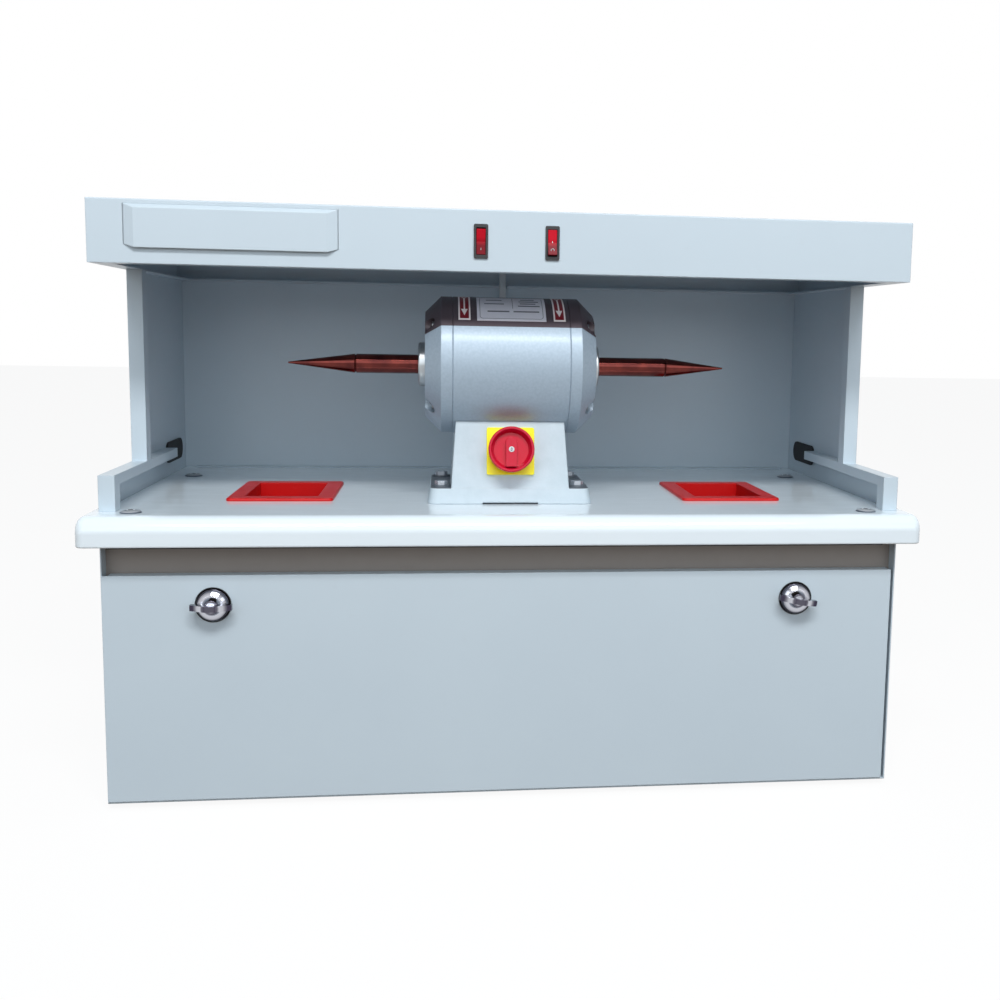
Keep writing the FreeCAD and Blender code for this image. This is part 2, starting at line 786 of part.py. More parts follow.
def rocker_switch(hand, side):
    housing = body("switch_housing_" + side)
    middle = f"({hand}*switch_spread - switch_side)"
    level = f"({worktop_top} + switch_rise)"
    bezel = sketch(housing, "XZ", fascia,
                   rectangle(f"{middle} - bezel_width/2", f"{middle} + bezel_width/2",
                             f"{level} - bezel_height/2", f"{level} + bezel_height/2"))
    pad(housing, bezel, "bezel_proud", toward=-1)
    soften(housing, "bezel_corner", lengthwise)
    block = sketch(housing, "XZ", fascia,
                   rectangle(f"{middle} - switch_width/2", f"{middle} + switch_width/2",
                             f"{level} - switch_height/2", f"{level} + switch_height/2"))
    pad(housing, block, "switch_depth", toward=1)
    well = sketch(housing, "XZ", f"{fascia} - bezel_proud",
                  rectangle(f"{middle} - rocker_width/2 - rocker_clearance",
                            f"{middle} + rocker_width/2 + rocker_clearance",
                            f"{level} - rocker_height/2 - rocker_play",
                            f"{level} + rocker_height/2 + rocker_play"))
    pocket(housing, well, "bezel_proud + well_depth", toward=1)
    axle = "(rocker_width/2 + rocker_clearance + axle_bite)"
    pivot = f"({fascia} + rocker_pivot)"
    bore = sketch(housing, "YZ", f"{middle} - {axle}", (pivot, level, "axle_radius + axle_fit"))
    pocket(housing, bore, f"2*{axle}", toward=1)

    button = body("rocker_" + side)
    face = "(rocker_pivot + rocker_crown)"
    profile = sketch(button, "YZ", "-rocker_width/2", [
        (f"-{face}", "-rocker_height/2"),
        ("-rocker_pivot - bezel_proud/2", "0"),
        (f"-{face}", "rocker_height/2"),
        ("0", "rocker_height/2"),
        ("rocker_axle", "rocker_axle"),
        ("rocker_axle", "-rocker_axle"),
        ("0", "-rocker_height/2")])
    pad(button, profile, "rocker_width")
    pad(button, sketch(button, "YZ", f"-{axle}", ("0", "0", "axle_radius")), f"2*{axle}")
    tilt = "rocker_swing" if side == "left" else "-rocker_swing"
    turn(button, (1, 0, 0), tilt, (middle, pivot, level))


def lamps():
    holders = []
    for hand, side in (("-1", "left"), ("1", "right")):
        middle = f"({hand}*lamp_spread)"
        y = f"({fascia} + lamp_setback)"
        z = f"({hood_high} - sheet - lamp_drop)"
        tube = body("lamp_tube_" + side)
        pad(tube, sketch(tube, "YZ", f"{middle} - lamp_length/2", (y, z, "lamp_radius")), "lamp_length")
        for end, grow in (("-1", -1), ("1", 1)):
            foot = body("lamp_holder")
            outline = rectangle(f"{y} - holder_depth/2", f"{y} + holder_depth/2",
                                f"{z} - lamp_radius - sheet", f"{hood_high} - sheet")
            start = f"{middle} + {end}*lamp_length/2"
            pad(foot, sketch(foot, "YZ", start, outline), "holder_width", toward=grow)
            holders.append(foot)
    gather("lamp_holders", holders)


def cable_trunking():
    strip = body("cable_trunking")
    back = "(worktop_depth/2 - sheet)"
    outline = rectangle("trunk_offset - trunk_width/2", "trunk_offset + trunk_width/2",
                        f"{back} - trunk_depth", back)
    pad(strip, sketch(strip, "XY", f"{worktop_top} + sheet", outline),
        "hood_rise + hood_height - 3*sheet")


# Pedestal with its switch

def pedestal():
    casting = body("pedestal")
    y = motor_line_y
    foot_top = f"({worktop_top} + flange_height)"

    def section(level, width, depth):
        return sketch(casting, "XY", level,
                      rectangle(f"-({width})/2", f"({width})/2",
                                f"{y} - ({depth})/2", f"{y} + ({depth})/2"))

    foot = pad(casting, section(worktop_top, "flange_width", "flange_depth"), "flange_height")
    foot.setExpression("TaperAngle", bound("-atan(flange_draft/flange_height)"))
    soften(casting, "flange_corner", flange_corner_edge)
    crown = f"({worktop_top} + column_top)"
    loft(casting, section(foot_top, "column_base_width", "column_base_depth"),
         section(crown, "column_top_width", "column_top_depth"))
    pads = [(x, b, "pad_radius") for x, b in pedestal_bolt_places("0")]
    pad(casting, sketch(casting, "XY", foot_top, *pads), "pad_height")
    loft(casting, section(worktop_top, hollow("width", "0"), hollow("depth", "0")),
         section(f"{worktop_top} + cavity_top",
                 hollow("width", "cavity_top"), hollow("depth", "cavity_top")), cut=True)
    cradle = sketch(casting, "YZ", "-flange_width/2", (y, motor_line_z, "motor_radius + cradle_gap"))
    pocket(casting, cradle, "flange_width", toward=1)
    bores = [(x, b, "bolt_radius + screw_clearance") for x, b, _ in pads]
    pocket(casting, sketch(casting, "XY", worktop_top, *bores),
           "flange_height + pad_height + cut_over", toward=1)
    relief = sketch(casting, "XZ", f"{y} - flange_depth/2",
                    rectangle("-relief_width/2", "relief_width/2",
                              worktop_top, f"{worktop_top} + relief_height"))
    pocket(casting, relief, "2*casting_wall", toward=1)
    bore = sketch(casting, "XY", "0", ("0", "0", "isolator_bore"))
    angle, centre = switch_seat()
    bore.AttachmentOffset = FreeCAD.Placement(FreeCAD.Vector(), FreeCAD.Rotation(FreeCAD.Vector(1, 0, 0), 0))
    bore.setExpression("AttachmentOffset.Rotation.Angle", bound(angle))
    for letter, value in zip("xyz", centre):
        bore.setExpression("AttachmentOffset.Base." + letter, bound(value))
    pocket(casting, bore, "casting_wall + cut_over", toward=-1)
    place(casting, motor_line_x)


def column_lean(way):
    """Slope of a column wall from the upright, as a share of its height."""
    return f"((column_base_{way} - column_top_{way})/2/(column_top - flange_height))"


def hollow(way, level):
    """Size of the cavity at a level, its walls parallel to the outside."""
    lean = column_lean(way)
    wall = f"casting_wall*sqrt(1 + {lean}*{lean})"
    return f"column_base_{way} - 2*{wall} - 2*{lean}*({level} - flange_height)"


def flange_corner_edge(edge):
    box = edge.BoundBox
    tall = number("flange_height")
    return abs(box.ZLength - tall) < NEAR and max(box.XLength, box.YLength) < tall


def switch_seat():
    """Tilt and place of the pedestal's sloping front face, where the switch sits."""
    lean = column_lean("depth")
    y = f"{motor_line_y} - column_base_depth/2 + {lean}*(isolator_rise - flange_height)"
    return f"90 deg - atan({lean})", ("0", y, f"{worktop_top} + isolator_rise")


def seat_on_pedestal(piece):
    angle, (_, y, z) = switch_seat()
    turn(piece, (1, 0, 0), angle, (motor_line_x, y, z))


def isolator_switch():
    plate = body("isolator_plate")
    half = "(plate_size/2)"
    pad(plate, sketch(plate, "XY", "0", rectangle(f"-{half}", half, f"-{half}", half),
                      ("0", "0", "isolator_bore")), "plate_thick")
    soften(plate, "plate_corner", upright)
    seat_on_pedestal(plate)

    knob = body("isolator_knob")
    low = "(plate_thick + knob_gap)"
    high = "(plate_thick + knob_gap + knob_height)"
    floor = f"({high} - knob_dish)"
    dish = "(knob_radius - knob_rim - knob_slope)"
    profile = sketch(knob, "XZ", "0", [
        ("isolator_shaft", low),
        ("knob_radius - knob_flare", low),
        ("knob_radius", f"{high} - knob_rim/2"),
        ("knob_radius - knob_rim/4", high),
        ("knob_radius - knob_rim*3/4", high),
        ("knob_radius - knob_rim", f"{high} - knob_rim/2"),
        (dish, floor),
        ("isolator_shaft", floor)])
    revolve(knob, profile, "Z")
    grip = sketch(knob, "XY", f"{floor} - knob_web",
                  rectangle("-grip_width/2", "grip_width/2", f"-{dish}", "grip_top"))
    pad(knob, grip, "knob_web + grip_proud")
    soften(knob, "grip_round",
           lambda edge: at_level(edge, "Y", "grip_top") and edge.BoundBox.ZLength > number("grip_round"))
    seat_on_pedestal(knob)

    shaft = body("isolator_shaft")
    end = "(casting_wall + isolator_entry)"
    pad(shaft, sketch(shaft, "XY", f"-{end}", ("0", "0", "isolator_shaft")),
        f"{end} + {high} - knob_dish - knob_web")
    seat_on_pedestal(shaft)


def isolator_block():
    block = body("isolator_block")
    back = "(-casting_wall - cradle_gap)"
    top = "(isolator_block/2 - isolator_lower)"
    pad(block, sketch(block, "XY", back,
                      rectangle("-isolator_block/2", "isolator_block/2", f"{top} - isolator_block", top)),
        "isolator_depth", toward=-1)
    pocket(block, sketch(block, "XY", back, ("0", "0", "isolator_shaft + isolator_fit")),
           "isolator_entry", toward=-1)
    seat_on_pedestal(block)


def pedestal_bolts():
    bolts = []
    nuts = []
    for x, y in pedestal_bolt_places(motor_line_x):
        bolt = body("pedestal_bolt")
        length = "(pad_height + flange_height + worktop_thick + nut_height)"
        pad(bolt, sketch(bolt, "XY", f"-{length}", ("0", "0", "bolt_radius")), length)
        pad(bolt, sketch(bolt, "XY", "0", hexagon("bolt_head")), "bolt_head_height")
        place(bolt, x, y, f"{worktop_top} + flange_height + pad_height")
        bolts.append(bolt)
        nut = body("pedestal_nut")
        ring = sketch(nut, "XY", "0", hexagon("bolt_head"), ("0", "0", "bolt_radius"))
        pad(nut, ring, "nut_height", toward=-1)
        place(nut, x, y, cabinet_top)
        nuts.append(nut)
    gather("pedestal_bolts", bolts)
    gather("pedestal_nuts", nuts)


def hexagon(radius):
    return [(f"{radius}*cos({60 * corner} deg)", f"{radius}*sin({60 * corner} deg)") for corner in range(6)]


def capacitor():
    can = body("capacitor")
    half = "(capacitor_length/2)"
    y = f"({motor_line_y} + column_top_depth/2 - casting_wall - capacitor_radius - capacitor_gap)"
    z = f"({worktop_top} + capacitor_radius + capacitor_gap)"
    pad(can, sketch(can, "YZ", f"-{half}", (y, z, "capacitor_radius")), "capacitor_length")
    place(can, motor_line_x)


# Motor

def motor_shell():
    shell = body("motor_body")
    width = "(seam_spread - seam_groove/2)"
    profile = sketch(shell, "XZ", "0", [
        (f"-{width}", "motor_radius - shell_wall"),
        (width, "motor_radius - shell_wall"),
        (width, "motor_radius - seam_groove/2"),
        (f"{width} - seam_groove/2", "motor_radius"),
        (f"-({width} - seam_groove/2)", "motor_radius"),
        (f"-{width}", "motor_radius - seam_groove/2")])
    revolve(shell, profile, "X")
    place(shell, motor_line_x, motor_line_y, motor_line_z)


screw_angles = (45, 135, 225, 315)


def end_bell(side, label):
    bell = body(label)
    wall = "bell_wall"
    start = f"{side}*(seam_spread - seam_groove/2)"
    inner_end = f"{side}*(bell_spread - bell_wall)"
    hub_start = f"{side}*(bell_spread - bearing_width - cap_depth)"
    profile = sketch(bell, "XZ", "0", [
        (start, "motor_radius - shell_wall"),
        (start, "motor_radius - seam_groove/2"),
        (f"{side}*(seam_spread)", "motor_radius"),
        (f"{side}*rim_spread", "motor_radius"),
        (f"{side}*bell_spread", "bell_end_radius"),
        (f"{side}*bell_spread", "bearing_radius + cradle_gap"),
        (hub_start, "bearing_radius + cradle_gap"),
        (hub_start, f"bearing_radius + {wall}"),
        (inner_end, f"bearing_radius + {wall}"),
        (inner_end, f"bell_end_radius - {wall}"),
        (f"{side}*(rim_spread - {wall}/2)", "motor_radius - shell_wall")])
    revolve(bell, profile, "X")
    pockets = [(f"pocket_circle*cos({angle} deg)", f"pocket_circle*sin({angle} deg)", "pocket_radius")
               for angle in screw_angles]
    bosses = sketch(bell, "YZ", f"{side}*(pocket_floor - {wall})", *pockets)
    direction = 1 if side == "1" else -1
    pad(bell, bosses, wall, toward=direction)
    holes = sketch(bell, "YZ", f"{side}*pocket_floor", *pockets)
    pocket(bell, holes, "bell_spread - pocket_floor + cut_over", toward=direction)
    shanks = [(x, y, "bell_screw_shank + cradle_gap") for x, y, _ in pockets]
    pocket(bell, sketch(bell, "YZ", f"{side}*(pocket_floor + cut_over)", *shanks),
           "cut_over + bell_wall + cut_over", toward=-direction)
    place(bell, motor_line_x, motor_line_y, motor_line_z)


def bell_screws():
    pieces = []
    for side, direction in (("-1", -1), ("1", 1)):
        for angle in screw_angles:
            screw = body("bell_screw")
            x = f"pocket_circle*cos({angle} deg)"
            z = f"pocket_circle*sin({angle} deg)"
            pad(screw, sketch(screw, "YZ", f"{side}*pocket_floor", (x, z, "bell_screw_head")),
                "bell_screw_height", toward=direction)
            pad(screw, sketch(screw, "YZ", f"{side}*pocket_floor", (x, z, "bell_screw_shank")),
                "bell_wall + bell_screw_end", toward=-direction)
            place(screw, motor_line_x, motor_line_y, motor_line_z)
            pieces.append(screw)
    gather("bell_screws", pieces)


def bearing(side, label):
    ring = body(label)
    outer = f"{side}*(bell_spread - cap_depth)"
    inner = f"{side}*(bell_spread - cap_depth - bearing_width)"
    profile = sketch(ring, "XZ", "0", [
        (inner, "bearing_bore"),
        (outer, "bearing_bore"),
        (outer, "bearing_radius"),
        (inner, "bearing_radius")])
    revolve(ring, profile, "X")
    place(ring, motor_line_x, motor_line_y, motor_line_z)


def bearing_cap(side, label):
    cap = body(label)
    face = f"{side}*(bell_spread)"
    outer = f"{side}*(bell_spread + cap_proud)"
    inner = f"{side}*(bell_spread - cap_depth)"
    hole = "(spindle_neck + spindle_gap)"
    profile = sketch(cap, "XZ", "0", [
        (inner, hole),
        (inner, "bearing_radius"),
        (face, "bearing_radius"),
        (face, "cap_radius"),
        (f"{side}*(bell_spread + cap_proud - sheet)", "cap_radius"),
        (outer, "cap_radius - sheet"),
        (outer, hole)])
    revolve(cap, profile, "X")
    place(cap, motor_line_x, motor_line_y, motor_line_z)


def stator():
    core = body("stator_core")
    half = "(core_length/2)"
    profile = sketch(core, "XZ", "0", rectangle(
        f"-{half}", half, "rotor_radius + air_gap", "motor_radius - shell_wall - core_gap"))
    revolve(core, profile, "X")
    place(core, motor_line_x, motor_line_y, motor_line_z)
    coils = []
    for side in ("-1", "1"):
        coil = body("end_winding")
        near = f"{side}*core_length/2"
        far = f"{side}*(core_length/2 + winding_length)"
        slope = f"{side}*(core_length/2 + winding_length*2/3)"
        ring = sketch(coil, "XZ", "0", [
            (near, "winding_inner"),
            (slope, "winding_inner"),
            (far, "winding_inner + winding_length/3"),
            (far, "winding_outer - winding_length/3"),
            (slope, "winding_outer"),
            (near, "winding_outer")])
        revolve(coil, ring, "X")
        place(coil, motor_line_x, motor_line_y, motor_line_z)
        coils.append(coil)
    gather("stator_windings", coils)


def rotor():
    core = body("rotor_core")
    half = "(core_length/2)"
    profile = sketch(core, "XZ", "0", rectangle(f"-{half}", half, "shaft_radius", "rotor_radius"))
    revolve(core, profile, "X")
    place(core, motor_line_x, motor_line_y, motor_line_z)
    shaft = body("motor_shaft")
    shoulder = "(bell_spread - cap_depth)"
    tail = f"({shoulder} + tail_length)"
    outline = sketch(shaft, "XZ", "0", [
        (f"-{tail}", "0"),
        (tail, "0"),
        (tail, "tail_radius"),
        (shoulder, "tail_radius"),
        (shoulder, "shaft_radius"),
        (f"-{shoulder}", "shaft_radius"),
        (f"-{shoulder}", "tail_radius"),
        (f"-{tail}", "tail_radius")])
    revolve(shaft, outline, "X")
    place(shaft, motor_line_x, motor_line_y, motor_line_z)


def spindle(side, label, step, reach):
    point = body(label)
    start = f"{side}*(bell_spread - cap_depth + spindle_gap)"
    socket = f"{side}*(bell_spread - cap_depth + tail_length + spindle_gap)"
    shoulder = f"{side}*(bell_spread + cap_proud + spindle_gap)"
    profile = sketch(point, "XZ", "0", [
        (start, "tail_radius"),
        (start, "spindle_neck"),
        (shoulder, "spindle_neck"),
        (shoulder, "spindle_radius"),
        (f"{side}*({step} - groove_width)", "spindle_radius"),
        (f"{side}*({step} - groove_width/2)", "spindle_radius - groove_depth"),
        (f"{side}*{step}", "spindle_radius"),
        (f"{side}*{reach}", "spindle_tip"),
        (f"{side}*{reach}", "0"),
        (socket, "0"),
        (socket, "tail_radius")])
    revolve(point, profile, "X")
    place(point, motor_line_x, motor_line_y, motor_line_z)


def badge():
    plate = body("data_plate")
    ring = sketch(plate, "YZ", "-badge_width/2",
                  ("0", "0", "motor_radius + badge_thick + cradle_gap"),
                  ("0", "0", "motor_radius + cradle_gap"))
    pad(plate, ring, "badge_width")
    half = "(badge_arc/2)"
    reach = "(motor_radius + cut_over)"
    keep = sketch(plate, "YZ", "-badge_width/2 - cut_over",
                  rectangle(f"-{reach}", reach, f"-{reach}", f"{reach}"),
                  rectangle(f"-{half}", half, "0", "motor_radius + cut_over/2"))
    pocket(plate, keep, "badge_width + 2*cut_over", toward=1)
    turn(plate, (1, 0, 0), "badge_tilt", (motor_line_x, motor_line_y, motor_line_z))


# Drawer and its runners

def drawer():
    front = body("drawer_front")
    low = "(foot_height + front_under)"
    high = f"({cabinet_top} - front_drop)"
    holes = [(f"{hand}*latch_spread - latch_side", latch_level, "barrel_radius + cradle_gap")
             for hand in ("-1", "1")]
    plate = rectangle("-cabinet_width/2 + front_margin", "cabinet_width/2 - front_reveal", low, high)
    face = sketch(front, "XZ", drawer_face, plate, *holes)
    pad(front, face, "sheet", toward=1)
    inner = "(cabinet_width/2 - lip_inset)"
    for hand in ("-1", "1"):
        lip = sketch(front, "XZ", drawer_back_face,
                     rectangle(f"{hand}*{inner}", f"{hand}*({inner} - sheet)",
                               f"{low} + 2*front_under", high))
        pad(front, lip, "front_lip", toward=1)
    top = sketch(front, "XZ", drawer_back_face,
                 rectangle(f"-({inner} - sheet)", f"{inner} - sheet", f"{high} - sheet", high))
    pad(front, top, "front_lip", toward=1)

    tray = body("drawer_box")
    half_box = "(cabinet_width/2 - sheet - runner_room)"
    floor = "(foot_height + sheet + box_lift)"
    back = f"({carcass_back} - box_room)"
    block = sketch(tray, "XY", floor, rectangle(f"-{half_box}", half_box, drawer_back_face, back))
    pad(tray, block, "box_height")
    inside = sketch(tray, "XY", f"{floor} + box_height",
                    rectangle(f"-({half_box} - box_wall)", f"{half_box} - box_wall",
                              f"{drawer_back_face} + box_wall", f"{back} - box_wall"))
    pocket(tray, inside, "box_height - box_wall", toward=-1)


def runner(side, name):
    wall = f"{side}*(cabinet_width/2 - sheet)"
    box = f"{side}*(cabinet_width/2 - sheet - runner_room)"
    level = "(foot_height + sheet + runner_rise)"
    start = f"({carcass_front} + front_lip + 2*front_gap)"
    length = f"({carcass_back} - runner_stop - {start})"
    steel = "sheet"
    room = "(slide_clearance + sheet)"

    def channel(piece, web, mouth, half_height):
        inner = f"{web} - {side}*{steel}"
        outline = [
            (web, f"{level} - {half_height}"),
            (mouth, f"{level} - {half_height}"),
            (mouth, f"{level} - {half_height} + {steel}"),
            (inner, f"{level} - {half_height} + {steel}"),
            (inner, f"{level} + {half_height} - {steel}"),
            (mouth, f"{level} + {half_height} - {steel}"),
            (mouth, f"{level} + {half_height}"),
            (web, f"{level} + {half_height}")]
        pad(piece, sketch(piece, "XZ", start, outline), length, toward=1)

    outer = body("runner_outer_" + name)
    channel(outer, wall, f"{box} + {side}*slide_clearance", "(runner_height/2)")
    slider = body("runner_inner_" + name)
    half = f"(runner_height/2 - {room})"
    inner_wall = f"({box} + {side}*{steel})"
    reach = f"({wall} - {side}*{room})"
    outline = [
        (box, f"{level} - {half}"),
        (reach, f"{level} - {half}"),
        (reach, f"{level} - {half} + {steel}"),
        (inner_wall, f"{level} - {half} + {steel}"),
        (inner_wall, f"{level} + {half} - {steel}"),
        (reach, f"{level} + {half} - {steel}"),
        (reach, f"{level} + {half}"),
        (box, f"{level} + {half}")]
    pad(slider, sketch(slider, "XZ", start, outline), length, toward=1)


# Wing latches

def latch(hand, side):
    centre = (f"{hand}*latch_spread - latch_side", drawer_face, latch_level)
    slack = "latch_right_turn" if side == "right" else "0"
    housing = body("latch_housing_" + side)
    profile = sketch(housing, "XY", "0", [
        ("latch_bore", barrel),
        ("barrel_radius", barrel),
        ("barrel_radius", "sheet + nut_thick"),
        ("nut_radius", "sheet + nut_thick"),
        ("nut_radius", "sheet"),
        ("barrel_radius", "sheet"),
        ("barrel_radius", "0"),
        ("latch_ring", "0"),
        ("latch_ring - latch_ring_proud/2", "-latch_ring_proud"),
        ("latch_bore", "-latch_ring_proud")])
    revolve(housing, profile, "Y")
    place(housing, *centre)

    knob = body("latch_knob_" + side)
    low = "(latch_ring_proud + latch_gap)"
    cam_back = f"({barrel} + latch_gap + cam_thick)"
    shape = sketch(knob, "XY", "0", [
        ("0", cam_back),
        ("latch_shaft", cam_back),
        ("latch_shaft", f"-{low}"),
        ("dome_radius", f"-{low}"),
        ("dome_radius - dome_crown/2", "-dome_proud + dome_crown"),
        ("dome_radius - 2*dome_crown", "-dome_proud"),
        ("dome_step", "-dome_proud"),
        ("dome_step - latch_ring_proud", "-dome_step_proud"),
        ("0", "-dome_step_proud")])
    revolve(knob, shape, "Y")
    wing_back = "(dome_proud + latch_gap)"
    wing = sketch(knob, "XY", "-wing_thick/2", [
        ("-wing_length/2", f"-{wing_back}"),
        ("-wing_length/2", f"-{wing_back} - wing_tip"),
        ("-wing_shoulder", "-wing_proud + wing_sweep"),
        ("-wing_shoulder/2", "-wing_proud + wing_sweep/4"),
        ("0", "-wing_proud"),
        ("wing_shoulder/2", "-wing_proud + wing_sweep/4"),
        ("wing_shoulder", "-wing_proud + wing_sweep"),
        ("wing_length/2", f"-{wing_back} - wing_tip"),
        ("wing_length/2", f"-{wing_back}")])
    pad(knob, wing, "wing_thick")
    turn(knob, (0, 1, 0), slack, centre)

    cam = body("latch_cam_" + side)
    half = "(cam_width/2)"
    arm = sketch(cam, "XZ", f"{barrel} + latch_gap", [
        (f"-{hand}*{half}", f"-{half}"),
        (f"{hand}*(cam_reach - {half}/2)", f"-{half}"),
        (f"{hand}*cam_reach", f"-{half}/2"),
        (f"{hand}*cam_reach", f"{half}/2"),
        (f"{hand}*(cam_reach - {half}/2)", half),
        (f"-{hand}*{half}", half)],
        ("0", "0", "latch_shaft"))
    pad(cam, arm, "cam_thick", toward=1)
    turn(cam, (0, 1, 0), slack, centre)


rubber_feet()
base_pan()
cabinet_side("-1", "cabinet_side_left")
cabinet_side("1", "cabinet_side_right")
cabinet_back()
front_rail()
cable_gland()
worktop()
worktop_screws()
chute("-1", "chute_left")
chute("1", "chute_right")
side_panel("-1", "side_panel_left")
side_panel("1", "side_panel_right")
side_grommets()
back_panel()
hood_shell()
hood_scoop()
rocker_switch("-1", "left")
rocker_switch("1", "right")
lamps()
cable_trunking()
pedestal()
pedestal_bolts()
isolator_switch()
isolator_block()
capacitor()
motor_shell()
end_bell("-1", "end_bell_left")
end_bell("1", "end_bell_right")
bell_screws()
bearing("-1", "bearing_left")
bearing("1", "bearing_right")
bearing_cap("-1", "bearing_cap_left")
bearing_cap("1", "bearing_cap_right")
stator()
rotor()
spindle("-1", "spindle_left", "step_left", "reach_left")
spindle("1", "spindle_right", "step_right", "reach_right")
badge()
drawer()
runner("-1", "left")
runner("1", "right")
latch("-1", "left")
latch("1", "right")
doc.recompute()

# Check every object, then write one file for each piece
faults = [item.Label for item in doc.Objects if {"Invalid", "Error"} & set(item.State)]
cutting = ("PartDesign::Pocket", "PartDesign::SubtractiveLoft")
cuts = [item for item in doc.Objects if item.TypeId in cutting]
faults += [item.Label for item in cuts if item.BaseFeature.Shape.Volume - item.Shape.Volume < NEAR]
grouped = [link for item in doc.Objects if item.TypeId == "Part::Compound" for link in item.Links]
pieces = [item for item in doc.Objects
          if item.TypeId in ("PartDesign::Body", "Part::Compound") and item not in grouped]
faults += [item.Label for item in pieces if item.Shape.isNull() or not item.Shape.isValid()]
if faults:
    raise SystemExit("failed: " + ", ".join(faults))
for item in pieces:
    item.Shape.exportStep(f"parts/{item.Label}.step")
print(len(pieces), "pieces written")
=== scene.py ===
import math
import bpy
from mathutils import Matrix, Vector


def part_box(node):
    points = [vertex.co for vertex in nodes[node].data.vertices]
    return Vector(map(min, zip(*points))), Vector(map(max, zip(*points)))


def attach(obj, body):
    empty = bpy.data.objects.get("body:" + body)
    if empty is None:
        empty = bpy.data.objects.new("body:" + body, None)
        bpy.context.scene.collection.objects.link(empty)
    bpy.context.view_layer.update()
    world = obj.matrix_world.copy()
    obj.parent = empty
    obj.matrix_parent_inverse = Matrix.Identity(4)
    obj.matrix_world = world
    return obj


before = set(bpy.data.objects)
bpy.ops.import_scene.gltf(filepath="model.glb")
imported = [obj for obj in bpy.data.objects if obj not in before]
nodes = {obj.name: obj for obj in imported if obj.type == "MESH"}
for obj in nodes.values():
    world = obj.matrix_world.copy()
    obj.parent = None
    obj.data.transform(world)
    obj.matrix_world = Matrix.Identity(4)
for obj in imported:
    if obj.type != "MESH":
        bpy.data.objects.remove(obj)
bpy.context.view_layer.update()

print("frame loaded,", len(nodes), "nodes")

motorLine = Vector((-0.002, -0.060, 0.424))  # the spindles' axis
motorRadius = 0.070
latchPlaces = {"left": -0.284, "right": 0.281}
latchLevel = 0.199


# Shader helpers: sums and products of sockets, and one way to add any node

class Amount:
    def __init__(self, finish, socket):
        self.finish = finish
        self.socket = socket

    def sum(self, operation, first, second=0.0):
        return self.finish.add("Math", {"operation": operation}, {0: first, 1: second})

    def __add__(self, other):
        return self.sum("ADD", self, other)

    def __sub__(self, other):
        return self.sum("SUBTRACT", self, other)

    def __rsub__(self, other):
        return self.sum("SUBTRACT", other, self)

    def __mul__(self, other):
        return self.sum("MULTIPLY", self, other)

    def __truediv__(self, other):
        return self.sum("DIVIDE", self, other)

    def __lt__(self, other):
        return self.sum("LESS_THAN", self, other)

    def __gt__(self, other):
        return self.sum("GREATER_THAN", self, other)

    def __abs__(self):
        return self.sum("ABSOLUTE", self)

    __radd__ = __add__
    __rmul__ = __mul__


class Finish:
    def __init__(self, name):
        self.material = bpy.data.materials.new(name)
        self.material.use_nodes = True
        self.tree = self.material.node_tree
        self.shader = self.tree.nodes["Principled BSDF"]

    def add(self, kind, settings=None, inputs=None, output=0):
        node = self.tree.nodes.new("ShaderNode" + kind)
        for name, value in (settings or {}).items():
            if name == "stops":
                self.fillRamp(node.color_ramp, value)
            else:
                setattr(node, name, value)
        for name, value in (inputs or {}).items():
            self.join(node.inputs[name], value)
        return Amount(self, node.outputs[output])

    def fillRamp(self, ramp, stops):
        while len(ramp.elements) < len(stops):
            ramp.elements.new(1)
        for element, (position, level) in zip(ramp.elements, stops):
            element.position = position
            element.color = (level, level, level, 1)

    def join(self, socket, value):
        if isinstance(value, Amount):
            self.tree.links.new(value.socket, socket)
        else:
            socket.default_value = value

    def surface(self, **inputs):
        for name, value in inputs.items():
            self.join(self.shader.inputs[socketNames[name]], value)
        return self.material

    def place(self, centre=(0, 0, 0), scale=(1, 1, 1)):
        here = self.add("TexCoord", output=3)
        shift = [-c * s for c, s in zip(centre, scale)]
        return self.add("Mapping", inputs={"Vector": here, "Location": shift, "Scale": scale})

    def axes(self, place):
        split = self.add("SeparateXYZ", inputs={0: place})
        return [Amount(self, output) for output in split.socket.node.outputs]

    def noise(self, place, scale, detail=3.0, roughness=0.5):
        inputs = {"Vector": place, "Scale": scale, "Detail": detail, "Roughness": roughness}
        return self.add("TexNoise", inputs=inputs)

    def ramp(self, factor, *stops):
        return self.add("ValToRGB", {"stops": stops}, {"Fac": factor})

    def blend(self, factor, first, second):
        return self.add("Mix", {"data_type": "RGBA"}, {0: factor, 6: first, 7: second}, output=2)

    def relief(self, height, depth, strength=1.0, rounded=0.0):
        inputs = {"Height": height, "Distance": depth, "Strength": strength}
        if rounded:
            inputs["Normal"] = self.roundEdges(rounded)
        return self.add("Bump", inputs=inputs)

    def roundEdges(self, radius):
        return self.add("Bevel", {"samples": 4}, {"Radius": radius})


socketNames = {"colour": "Base Color", "roughness": "Roughness", "metal": "Metallic", "normal": "Normal",
               "coat": "Coat Weight", "coatRoughness": "Coat Roughness", "specular": "Specular IOR Level"}


def paint(red, green, blue):
    def linear(level):
        share = level / 255
        return share / 12.92 if share <= 0.04045 else ((share + 0.055) / 1.055) ** 2.4
    return (linear(red), linear(green), linear(blue), 1)


# Finishes

